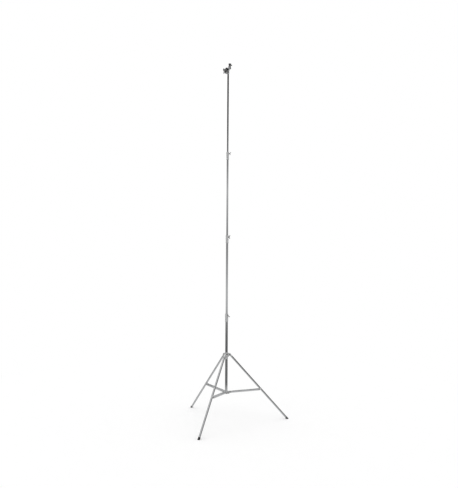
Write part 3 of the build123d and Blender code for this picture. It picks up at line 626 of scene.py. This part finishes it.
def rubber_skin(name):
    """Moulded black rubber, matt, with scuffs and a dusty bloom near the floor."""
    finish, tree, surface = new_finish(name)
    where = add_node(tree, "TexCoord").outputs["Object"]
    height = add_node(tree, "SeparateXYZ", {"Vector": where}).outputs["Z"]
    low_down = add_range(tree, height, 0, 1, 0.035, 0.0)
    smears = place_effect(tree, handling, **{"Patch size": 0.010, "Cover": 0.55}).outputs["Smears"]
    dust = add_node(tree, "Math", {0: low_down, 1: smears}, operation="MULTIPLY").outputs["Value"]
    toned = add_blend(tree, dust, (0.013, 0.013, 0.014), (0.060, 0.057, 0.052))
    grain = add_node(tree, "TexNoise", {"Vector": where, "Scale": 900.0, "Detail": 3.0}).outputs["Fac"]
    dress(tree, surface, toned, add_range(tree, grain, 0.62, 0.82), grain, 0.4, 0.0003)
    return finish


black_rubber = rubber_skin("black_rubber")
for number, (place, length) in enumerate(zip(leg_places, leg_lengths), start=1):
    mouth = length - FOOT_COVER
    tube_stop = length - TUBE_SHORT_OF_FLOOR
    profile = [(0, tube_stop), (LEG_R, tube_stop), (LEG_R, mouth), (FOOT_R - 0.0013, mouth),
               (FOOT_R - 0.0005, mouth + 0.0008), (FOOT_R - 0.0005, mouth + 0.0050),
               (FOOT_R - 0.0015, mouth + 0.0066)]
    for rib in range(FOOT_RIBS):
        start = mouth + 0.0082 + rib * RIB_PITCH
        proud = FOOT_R - 0.0009 + 0.0002 * rib
        profile += [(FOOT_R - 0.0018, start), (proud - 0.0003, start + 0.0006), (proud, start + 0.0012),
                    (proud, start + 0.0022), (proud - 0.0003, start + 0.0028),
                    (FOOT_R - 0.0018, start + 0.0034)]
    profile += [(FOOT_R - 0.0006, length - 0.0135), (FOOT_R, length - 0.0125), (FOOT_R, length - 0.002),
                (FOOT_R * 0.92, length + 0.0035), (FOOT_R * 0.75, length + 0.0072),
                (FOOT_R * 0.5, length + 0.0100), (FOOT_R * 0.25, length + 0.0114),
                (0, length + FOOT_PAST)]
    shape = bmesh.new()
    add_turned(shape, profile, place, 64)
    everything = list(shape.verts) + list(shape.edges) + list(shape.faces)
    bmesh.ops.bisect_plane(shape, geom=everything, dist=1e-6, plane_co=(0, 0, 0), plane_no=(0, 0, -1),
                           clear_outer=True)
    bmesh.ops.holes_fill(shape, edges=[edge for edge in shape.edges if edge.is_boundary])
    install(shape, f"foot_{number}", "moulded", black_rubber)

# ---------------------------------------------------------------- brace hub
# A casting bored to slide on the column, with a wide tongue for each brace. Bolts and locking nuts
# hold the brace bars, and a small T screw at the front locks the hub on the column.
HUB_GRIP = 0.0206
HUB_GRAIN = 0.0013

install_casting("hub", HUB_GRAIN, SOFTEN_CAST)
hub_pivots = [Vector(joints[f"brace_{n}_fold"]["pos_m"]) for n in (1, 2, 3)]
bolt_pivots("hub", hub_pivots, HUB_GRIP)

SCREW_R = 0.005
SCREW_PITCH = 0.0015
NECK_LONG = 0.007
HANDLE_GRAIN = 0.0007
SOFTEN_HANDLE = 4
HANDLE_SWEEP = radians(25)


def add_tee(shape, place, arm):
    """A T handle's grip, to be melted: two swept arms with ball ends on a tapered neck."""
    profile = [(0, 0), (0.0065, 0), (0.0065, 0.005), (0.0054, arm * 0.34), (0.0047, arm * 0.6),
               (0.0057, arm - 0.0095), (0.0060, arm - 0.0060), (0.0052, arm - 0.0028),
               (0.0033, arm - 0.0008), (0, arm)]
    for end in (1, -1):
        swept = Vector((end * cos(HANDLE_SWEEP), 0, sin(HANDLE_SWEEP)))
        add_turned(shape, profile, placed(place.translation, place.to_3x3() @ swept), 32)
    add_turned(shape, [(0, -0.0078), (0.0080, -0.0078), (0.0079, -0.0060), (0.0071, -0.0020),
                       (0.0072, 0.0015), (0.0055, 0.0052), (0.0028, 0.0070), (0, 0.0074)], place, 32)


def tee_handle(node, axis_joint, arm, roll, screw_start, screw_end):
    """A cast T handle on a threaded screw, about its own turning axis."""
    turning = joints[axis_joint]
    outwards = Vector(turning["axis"])
    arm_way = UP.cross(outwards) * sin(roll) + UP * cos(roll)
    grip = UP * turning["pos_m"][2] + outwards * screw_end
    place = placed(grip, outwards, arm_way)
    soft = bmesh.new()
    add_tee(soft, place, arm)
    whole = melted(soft, HANDLE_GRAIN, SOFTEN_HANDLE)
    add_thread(whole, place, SCREW_R, SCREW_PITCH, screw_start - screw_end, -NECK_LONG)
    install(whole, node, "cast", handle_chrome)


# the T handles' plate is toned darker all over (0.52) than the other castings' plate (0.82)
handle_chrome = plated_cast("handle_chrome", 0.0012, 0.13, 0.00008, 1.0, 0.52)
HUB_LOCK_ARM = 0.022
HUB_LOCK_ROLL = radians(-70)
HUB_LOCK_REACH = 0.052
HUB_LOCK_START = COLUMN_R + 0.0003
tee_handle("hub_lock_screw", "hub_lock_turn", HUB_LOCK_ARM, HUB_LOCK_ROLL, HUB_LOCK_START, HUB_LOCK_REACH)

# ---------------------------------------------------------------- braces
# Each brace is a pair of flat chromed bars with round ends, one at each side of the hub's tongue and
# of the leg. A low domed bolt end stands at each side of the leg, and a nylon bush between the bars.
BAR_THICK = 0.003
BAR_HEIGHT = 0.025
BAR_GAP = 0.0173
BAR_ROUND = 0.0006
END_SIDES = 20
DOME_R = 0.008
DOME_HIGH = 0.003


def add_flat_bar(shape, place, length, near, far):
    """A round-ended flat bar along the placement's x, between two distances along its z."""
    rings = []
    low, high = sorted((near, far))
    levels = ((low, BAR_ROUND), (low + BAR_ROUND * 0.3, BAR_ROUND * 0.3), (low + BAR_ROUND, 0),
              (high - BAR_ROUND, 0), (high - BAR_ROUND * 0.3, BAR_ROUND * 0.3), (high, BAR_ROUND))
    for level, inset in levels:
        radius = BAR_HEIGHT / 2 - inset
        ring = []
        for end in (1, -1):
            for i in range(END_SIDES + 1):
                turn = pi * i / END_SIDES - end * pi / 2
                point = Vector((end * length / 2 + radius * cos(turn), radius * sin(turn), level))
                ring.append(shape.verts.new(place @ point))
        rings.append(ring)
    for here, ahead in zip(rings, rings[1:]):
        for i in range(len(here)):
            j = (i + 1) % len(here)
            shape.faces.new((here[i], here[j], ahead[j], ahead[i]))
    shape.faces.new(rings[0])
    shape.faces.new(rings[-1])


def refinish(node, finish):
    """Gives a CAD node that keeps its own shape a better finish."""
    materials = frame["nodes"][node].data.materials
    materials.clear()
    materials.append(finish)


for number, (hub_end, leg_end, tangent) in enumerate(zip(hub_pivots, brace_pins, leg_tangents), start=1):
    run = (leg_end - hub_end).normalized()
    bar_chrome = chromed_steel(f"bar_chrome_{number}", tuple(run), 700.0, 0.08, 0.19, 0.78)
    middle = placed((hub_end + leg_end) / 2, -tangent, run)
    shape = bmesh.new()
    for side in (1, -1):
        add_flat_bar(shape, middle, (leg_end - hub_end).length, side * BAR_GAP,
                     side * (BAR_GAP + BAR_THICK))
    install(shape, f"brace_bars_{number}", "rolled", bar_chrome)

    outer_face = BAR_GAP + BAR_THICK
    shape = bmesh.new()
    for side in (1, -1):
        at_side = placed(leg_end, tangent * -side, run)
        add_turned(shape, [(0, BAR_GAP), (PIVOT_BOLT_R, BAR_GAP), (PIVOT_BOLT_R, outer_face),
                           (DOME_R, outer_face), (DOME_R, outer_face + DOME_HIGH * 0.16),
                           (DOME_R * 0.93, outer_face + DOME_HIGH * 0.46),
                           (DOME_R * 0.74, outer_face + DOME_HIGH * 0.80),
                           (DOME_R * 0.44, outer_face + DOME_HIGH * 0.97),
                           (DOME_R * 0.26, outer_face + DOME_HIGH), (DOME_R * 0.20, outer_face + 0.0022),
                           (0, outer_face + 0.0022)], at_side)
    install(shape, f"brace_bolt_ends_{number}", "rolled", zinc)

    refinish(f"brace_bush_{number}", black_nylon)

# ---------------------------------------------------------------- risers
# Three drawn and chromed tubes of falling size, each sliding in the one below on a nylon bush. Their
# plate is finely scored along its length by the collars' shoes.
riser_chrome = chromed_steel("riser_chrome", (0, 0, 1), 1100.0, 0.03, 0.08)
for number in (1, 2, 3):
    low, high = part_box(f"riser_tube_{number}")
    radius = (high.x - low.x) / 2
    shape = bmesh.new()
    add_tube(shape, MAST, radius, radius - WALL, low.z, high.z)
    install(shape, f"riser_tube_{number}", "drawn", riser_chrome)

    refinish(f"riser_bush_{number}", black_nylon)

# ---------------------------------------------------------------- locking collars
# Tall plated collars, each pinned on the top of a tube, with a step where the smaller riser comes out
# and a boss for the T handle's screw. The screw presses a brass shoe on the riser.
COLLAR_GRAIN = 0.0013
SOFTEN_COLLAR = 3
SLEEVE_WALL = 0.0045
PIN_DOME = 0.0022
PIN_DOWN = 0.034
HANDLE_ARM = 0.036
HANDLE_ROLLS = (radians(-52), radians(8), radians(35))
HANDLE_REACH = 0.020
SHOE_LONG = 0.005
SHOE_GAP = 0.0003


def cast_brass(name):
    """Brass turned bright and dulled a little by handling."""
    finish, tree, surface = new_finish(name)
    smears = place_effect(tree, handling, **{"Patch size": 0.006, "Cover": 0.5}).outputs["Smears"]
    turned_marks = place_effect(tree, drawn_lines, Along=(0, 0, 1), Fineness=1500.0).outputs["Lines"]
    toned = add_blend(tree, smears, (0.72, 0.53, 0.25), (0.48, 0.34, 0.16))
    tree.links.new(toned, surface.inputs["Base Color"])
    tree.links.new(add_range(tree, turned_marks, 0.2, 0.42), surface.inputs["Roughness"])
    surface.inputs["Metallic"].default_value = 1.0
    return finish


brass = cast_brass("brass")
tube_radii = (COLUMN_R, 0.0175, 0.015, 0.0125)
for number, (outer_r, riser_r, roll) in enumerate(zip(tube_radii, tube_radii[1:], HANDLE_ROLLS), start=1):
    outwards = Vector(joints[f"collar_handle_{number}_turn"]["axis"])
    low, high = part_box(f"collar_{number}")
    install_casting(f"collar_{number}", COLLAR_GRAIN, SOFTEN_COLLAR)

    sleeve_r = outer_r + SLEEVE_WALL
    shape = bmesh.new()
    for side in (1, -1):
        aside = UP.cross(outwards) * side
        seat = aside * (sleeve_r + 0.0001) + UP * ((low.z + high.z) / 2 - PIN_DOWN)
        add_rivet(shape, placed(seat, aside), 0.003, 0.005, PIN_DOME, 0.0042)
    install(shape, f"collar_pins_{number}", "headed", zinc)

    refinish(f"collar_shoe_{number}", brass)

    tee_handle(f"collar_handle_{number}", f"collar_handle_{number}_turn", HANDLE_ARM, roll,
               riser_r + 2 * SHOE_GAP + SHOE_LONG, outer_r + HANDLE_REACH)

# ---------------------------------------------------------------- grip head body
# A casting that sockets over the top riser, with a round boss for the jaws at one side and an arm that
# holds the receiver at the other.
HEAD_GRAIN = 0.0010
install_casting("head_body", HEAD_GRAIN, SOFTEN_CAST)

# ---------------------------------------------------------------- receiver
# A turned steel socket for a spigot, beaded at both ends, brazed in the head's arm. A small thumb
# screw near its top clamps the spigot.
spigot = mounts["receiver_spigot"]
spigot_mouth = Vector(spigot["pos_m"])
receiver_low, receiver_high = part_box("receiver")
receiver_tall = receiver_high.z - receiver_low.z
SPIGOT_BORE_R = spigot["dims"]["r_mm"] / 1000
SPIGOT_DEEP = spigot["dims"]["length_mm"] / 1000
WAIST_R = 0.0175
BEAD_R = 0.0215
receiver_place = placed((spigot_mouth.x, spigot_mouth.y, receiver_low.z), UP)
turned_chrome = chromed_steel("turned_chrome", (0, 0, 1), 600.0, 0.07, 0.17)
shape = bmesh.new()
add_turned(shape, [
    (0, 0),
    (BEAD_R - 0.003, 0),
    (BEAD_R - 0.0012, 0.0006),
    (BEAD_R, 0.003),
    (BEAD_R, 0.0172),
    (BEAD_R - 0.0008, 0.0187),
    (WAIST_R + 0.0006, 0.0212),
    (WAIST_R, 0.0225),
    (WAIST_R, receiver_tall - 0.0305),
    (WAIST_R + 0.0008, receiver_tall - 0.0293),
    (BEAD_R - 0.0010, receiver_tall - 0.0268),
    (BEAD_R, receiver_tall - 0.0255),
    (BEAD_R, receiver_tall - 0.0200),
    (BEAD_R - 0.0008, receiver_tall - 0.0194),
    (BEAD_R - 0.0008, receiver_tall - 0.0086),
    (BEAD_R, receiver_tall - 0.0080),
    (BEAD_R, receiver_tall - 0.0030),
    (BEAD_R - 0.0009, receiver_tall - 0.0008),
    (BEAD_R - 0.0022, receiver_tall),
    (SPIGOT_BORE_R + 0.0012, receiver_tall),
    (SPIGOT_BORE_R, receiver_tall - 0.0010),
    (SPIGOT_BORE_R, receiver_tall - SPIGOT_DEEP),
    (0, receiver_tall - SPIGOT_DEEP),
], receiver_place, 72)
install(shape, "receiver", "turned", turned_chrome)

THUMB_SCREW_R = 0.004
THUMB_KNOB_R = 0.009
THUMB_KNOB_LONG = 0.015
THUMB_KNOB_OUT = 0.061
THUMB_LOBES = 6
THUMB_SIDES = 72
SCALLOP = 0.0013
thumb_way = Vector(joints["receiver_screw_turn"]["axis"])
thumb_low, thumb_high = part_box("receiver_screw")
thumb_place = placed(thumb_way * THUMB_KNOB_OUT + UP * (thumb_low.z + thumb_high.z) / 2, thumb_way)
shape = bmesh.new()
rings = [[shape.verts.new(thumb_place @ Vector((0, 0, 0)))]]
knob_levels = ((0, 0.0012), (0.0006, 0.0003), (0.0014, 0), (THUMB_KNOB_LONG - 0.0014, 0),
               (THUMB_KNOB_LONG - 0.0006, 0.0004), (THUMB_KNOB_LONG, 0.0016))
for level, inset in knob_levels:
    ring = []
    for i in range(THUMB_SIDES):
        turn = 2 * pi * i / THUMB_SIDES
        radius = THUMB_KNOB_R - inset - SCALLOP * (0.5 + 0.5 * cos(THUMB_LOBES * turn)) ** 1.5
        ring.append(shape.verts.new(thumb_place @ Vector((radius * cos(turn), radius * sin(turn), level))))
    rings.append(ring)
rings.append([shape.verts.new(thumb_place @ Vector((0, 0, THUMB_KNOB_LONG)))])
add_rings(shape, rings)
add_thread(shape, thumb_place, THUMB_SCREW_R, CLAMP_PITCH, -0.012, 0.001)
install(shape, "receiver_screw", "turned", zinc)

# ---------------------------------------------------------------- jaw plates
# Two steel discs that face each other on one bolt. Each has a round groove above the bolt for a rod and
# a toothed V groove below it, both rolled with fine teeth for grip, and a bevelled rim.
JAW_THICK = 0.010
JAW_GAP = 0.004
GROOVE_UP = 0.027
ROD_R = mounts["jaw_rod"]["dims"]["r_mm"] / 1000
TOOTH = 0.0006
TOOTH_PITCH = 0.0024
jaw_way = Vector(joints["jaw_turn"]["axis"])
jaw_low, jaw_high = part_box("jaw_plate_rear")
JAW_R = (jaw_high.z - jaw_low.z) / 2
jaw_height = (jaw_high.z + jaw_low.z) / 2
JAW_BOLT_R = 0.007
BOLT_HOLE_R = 0.00705
REAR_START = 0.0193
FRONT_START = REAR_START + JAW_THICK + JAW_GAP
plate_chrome = plated_cast("plate_chrome", 0.0030, 0.16, 0.00006)


def cut_out(shape, cutter, node):
    """Takes one closed shape out of another."""
    holders = []
    for label, source in (("blank", shape), ("cutter", cutter)):
        bmesh.ops.recalc_face_normals(source, faces=source.faces)
        mesh = bpy.data.meshes.new(f"{node}.{label}")
        source.to_mesh(mesh)
        source.free()
        holders.append(bpy.data.objects.new(f"{node}.{label}", mesh))
        bpy.context.scene.collection.objects.link(holders[-1])
    blank, tool = holders
    cut = blank.modifiers.new("cut", "BOOLEAN")
    cut.operation = "DIFFERENCE"
    cut.solver = "EXACT"
    cut.object = tool
    graph = bpy.context.evaluated_depsgraph_get()
    cut_mesh = bpy.data.meshes.new_from_object(blank.evaluated_get(graph))
    left = bmesh.new()
    left.from_mesh(cut_mesh)
    for holder in holders:
        mesh = holder.data
        bpy.data.objects.remove(holder)
        bpy.data.meshes.remove(mesh)
    bpy.data.meshes.remove(cut_mesh)
    return left


def toothed_cutter(place, outline):
    """A cutter of this outline drawn across the plate, its size stepping in and out to leave teeth."""
    cutter = bmesh.new()
    centre = sum((Vector(point) for point in outline), Vector((0, 0))) / len(outline)
    rings = []
    past_rim = JAW_R + 0.003
    for step in range(int(2 * past_rim / TOOTH_PITCH) + 1):
        reach = step * TOOTH_PITCH - past_rim
        for shift, grow in ((0, 0), (TOOTH_PITCH / 2, TOOTH)):
            ring = []
            for point in outline:
                away = Vector(point) - centre
                at = Vector(point) + away.normalized() * grow
                ring.append(cutter.verts.new(place @ Vector((at.x, at.y, reach + shift))))
            rings.append(ring)
    for here, ahead in zip(rings, rings[1:]):
        for i in range(len(here)):
            j = (i + 1) % len(here)
            cutter.faces.new((here[i], here[j], ahead[j], ahead[i]))
    cutter.faces.new(rings[0])
    cutter.faces.new(rings[-1])
    return cutter


def jaw_plate(node, start, facing):
    """One plate, starting this far out along the bolt, with its grooves on the side it faces."""
    place = placed(jaw_way * start + UP * jaw_height, jaw_way, UP)
    plate = bmesh.new()
    rim = 0.0022
    add_turned(plate, [(BOLT_HOLE_R, 0), (JAW_R - rim, 0), (JAW_R - rim * 0.3, rim * 0.3),
                       (JAW_R, rim), (JAW_R, JAW_THICK - rim), (JAW_R - rim * 0.3, JAW_THICK - rim * 0.3),
                       (JAW_R - rim, JAW_THICK), (BOLT_HOLE_R, JAW_THICK)], place, 96)
    face = start + JAW_THICK if facing > 0 else start
    section = placed(jaw_way * face + UP * jaw_height, jaw_way.cross(UP) * facing, jaw_way * facing)
    round_groove = [(JAW_GAP / 2 + ROD_R * cos(2 * pi * i / 28), ROD_R * sin(2 * pi * i / 28) + GROOVE_UP)
                    for i in range(28)]
    v_groove = [(0.002, -0.015), (-0.0055, -0.027), (0.002, -0.039)]
    if (section.to_3x3() @ Vector((0, 1, 0))).z < 0:
        round_groove = [(x, -y) for x, y in round_groove]
        v_groove = [(x, -y) for x, y in v_groove]
    plate = cut_out(plate, toothed_cutter(section, round_groove), node)
    plate = cut_out(plate, toothed_cutter(section, v_groove), node)
    install(plate, node, "machined", plate_chrome)


jaw_plate("jaw_plate_rear", REAR_START, 1)
jaw_plate("jaw_plate_front", FRONT_START, -1)

# ---------------------------------------------------------------- jaw bolt and handle
# The bolt is fixed in the head and carries both plates. The handle is a long flanged nut with a
# blackened bar that slides through it and hangs down; a knob is riveted on each end of the bar.
HANDLE_START = FRONT_START + JAW_THICK + 0.0003
BOLT_PAST_FLANGE = 0.030
FLANGE_R = 0.018
NUT_R = 0.014
NUT_LONG = 0.056
BAR_R = 0.0045
BAR_HOLE_R = 0.00455
BOLT_START = 0.0135
BOLT_PITCH = 0.004
shape = bmesh.new()
bolt_place = placed(jaw_way * BOLT_START + UP * jaw_height, jaw_way)
thread_start = FRONT_START + JAW_THICK - BOLT_PITCH - BOLT_START
thread_end = HANDLE_START + BOLT_PAST_FLANGE - BOLT_START
add_tube(shape, bolt_place, JAW_BOLT_R, 0, 0, thread_start + 0.001, 40)
add_thread(shape, bolt_place, JAW_BOLT_R, BOLT_PITCH, thread_start, thread_end, 40)
install(shape, "jaw_bolt", "machined", zinc)

nut_place = placed(jaw_way * HANDLE_START + UP * jaw_height, jaw_way)
shape = bmesh.new()
add_turned(shape, [
    (BOLT_HOLE_R + 0.0004, 0),
    (FLANGE_R - 0.0008, 0),
    (FLANGE_R, 0.0008),
    (FLANGE_R, 0.0030),
    (FLANGE_R - 0.0010, 0.0040),
    (NUT_R + 0.0008, 0.0044),
    (NUT_R - 0.0006, 0.0060),
    (NUT_R - 0.0006, 0.0105),
    (NUT_R, 0.0112),
    (NUT_R, NUT_LONG - 0.0030),
    (NUT_R - 0.0012, NUT_LONG - 0.0009),
    (NUT_R - 0.0034, NUT_LONG),
    (0, NUT_LONG),
    (0, BOLT_PAST_FLANGE + 0.001),
    (BOLT_HOLE_R, BOLT_PAST_FLANGE + 0.001),
    (BOLT_HOLE_R, 0.0004),
], nut_place, 72)
bar_low, bar_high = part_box("jaw_handle_bar")
bar_line = Vector(((bar_low.x + bar_high.x) / 2, (bar_low.y + bar_high.y) / 2, 0))
drill = bmesh.new()
add_turned(drill, [(0, jaw_height - 0.03), (BAR_HOLE_R, jaw_height - 0.03), (BAR_HOLE_R, jaw_height + 0.03),
                   (0, jaw_height + 0.03)], placed(bar_line, UP), 40)
shape = cut_out(shape, drill, "jaw_handle")
install(shape, "jaw_handle", "machined", handle_chrome)

blackened = moulded("blackened_bar", (0.035, 0.035, 0.037), 0.28)
KNOB_R = 0.0075
KNOB_LONG = 0.011
bar_tall = bar_high.z - bar_low.z
half_knob = [(0, 0), (0.0035, 0.0001), (0.0058, 0.0011), (KNOB_R, 0.0032), (KNOB_R, 0.0072),
             (0.0064, 0.0096), (0.0050, KNOB_LONG - 0.0002), (BAR_R, KNOB_LONG)]
shape = bmesh.new()
add_turned(shape, half_knob + [(radius, bar_tall - height) for radius, height in reversed(half_knob)],
           placed(bar_line + UP * bar_low.z, UP), 48)
install(shape, "jaw_handle_bar", "headed", blackened)

# ---------------------------------------------------------------- floor and studio
# A seamless white floor, evenly lit. To glossy rays the floor shows painted light and shade instead: a
# painted lit sheet round the stand that fades to a painted dark surround. The chrome also sees pale bands of
# light round the walls, and a large soft box up to the left.
FLOOR_R = 6.0
SHEET_R = 2.0
SHEET_FADE = 0.7
SHEET_SEEN = 0.54
SURROUND_SEEN = 0.145
PAPER_GLOW = 0.11
floor_shape = bmesh.new()
bmesh.ops.create_circle(floor_shape, cap_ends=True, segments=96, radius=FLOOR_R)
floor_mesh = bpy.data.meshes.new("floor")
floor_shape.to_mesh(floor_mesh)
floor_shape.free()
floor = bpy.data.objects.new("floor", floor_mesh)
bpy.context.scene.collection.objects.link(floor)
white_paper, tree, surface = new_finish("white_paper")
where = add_node(tree, "TexCoord").outputs["Object"]
paper_grain = add_node(tree, "TexNoise", {"Vector": where, "Scale": 3.0, "Detail": 2.0})
paper_tone = add_range(tree, paper_grain.outputs["Fac"], 0.885, 0.90)
from_mast = add_node(tree, "VectorMath", {0: where}, operation="LENGTH")
# painted light and shade: in reflections the floor's colour is lit within the sheet and dark beyond it, while
# the camera sees it evenly white
painted_floor_reflection = add_range(tree, from_mast.outputs["Value"], SHEET_SEEN, SURROUND_SEEN, SHEET_R,
                     SHEET_R + SHEET_FADE)
ray = add_node(tree, "LightPath")
tone_seen = add_node(tree, "Mix", {"Factor": ray.outputs["Is Glossy Ray"],
                                   "A": paper_tone, "B": painted_floor_reflection}, data_type="FLOAT")
tree.links.new(tone_seen.outputs["Result"], surface.inputs["Base Color"])
tree.links.new(ray.outputs["Is Camera Ray"], surface.inputs["Emission Color"])
surface.inputs["Emission Strength"].default_value = PAPER_GLOW
surface.inputs["Roughness"].default_value = 0.9
surface.inputs["Specular IOR Level"].default_value = 0.0
floor_mesh.materials.append(white_paper)

WHITE = 1.0
ROOM_LIGHT = 1.0
BANDS = (
    (-90, 0.30), (-20, 0.22), (-11, 0.16), (-8, 0.11), (-5.5, 0.20), (-4, 0.50), (-2, 0.52), (0, 0.40),
    (3, 0.27), (4.5, 0.27), (6, 0.34), (8, 0.42), (9.5, 0.50), (11, 0.36), (12.5, 0.25), (14, 0.19),
    (17, 0.05), (20, 0.005), (26, 0.0), (34, 0.08), (44, 0.24), (60, 0.30), (90, 0.30),
)
SOFT_BOX_WAY = Vector((-0.55, -0.30, 0.78)).normalized()
SOFT_BOX_EDGE = 0.70
SOFT_BOX_FULL = 0.85
SOFT_BOX_LEVEL = 0.55
SKY_CLEAR_OF_MAST = sin(radians(42))
SKY_FULL = sin(radians(52))
world = bpy.data.worlds.new("studio")
bpy.context.scene.world = world
world.use_nodes = True
tree = world.node_tree
tree.nodes.clear()
way_seen = add_node(tree, "TexCoord").outputs["Generated"]
parts_seen = add_node(tree, "SeparateXYZ", {"Vector": way_seen})
rise = add_range(tree, parts_seen.outputs["Z"], 0, 1, -1.0, 1.0)
bands = add_node(tree, "ValToRGB", {"Fac": rise})
stops = bands.color_ramp.elements
while len(stops) < len(BANDS):
    stops.new(0.5)
for stop, (elevation, level) in zip(stops, BANDS):
    stop.position = 0.5 + 0.5 * sin(radians(elevation))
    stop.color = (level, level, level, 1)
to_box = add_node(tree, "VectorMath", {0: way_seen, 1: SOFT_BOX_WAY}, operation="DOT_PRODUCT")
box_light = add_range(tree, to_box.outputs["Value"], 0, SOFT_BOX_LEVEL, SOFT_BOX_EDGE, SOFT_BOX_FULL)
above_mast = add_range(tree, parts_seen.outputs["Z"], 0, 1, SKY_CLEAR_OF_MAST, SKY_FULL)
box_seen = add_node(tree, "Math", {0: box_light, 1: above_mast}, operation="MULTIPLY")
lit = add_node(tree, "VectorMath", {0: bands.outputs["Color"], 1: box_seen.outputs["Value"]},
               operation="ADD")
for_eye = add_node(tree, "Background", {"Color": (WHITE, WHITE, WHITE, 1)})
for_matt = add_node(tree, "Background", {"Color": (WHITE, WHITE, WHITE, 1), "Strength": ROOM_LIGHT})
for_gloss = add_node(tree, "Background", {"Color": lit.outputs["Vector"]})
ray = add_node(tree, "LightPath")
matt_or_gloss = add_node(tree, "MixShader", {0: ray.outputs["Is Diffuse Ray"],
                                             1: for_gloss.outputs[0], 2: for_matt.outputs[0]})
seen = add_node(tree, "MixShader", {0: ray.outputs["Is Camera Ray"], 1: matt_or_gloss.outputs[0],
                                    2: for_eye.outputs[0]})
add_node(tree, "OutputWorld", {"Surface": seen.outputs[0]})
world.cycles.sampling_method = "NONE"
bpy.context.scene.view_settings.view_transform = "Standard"
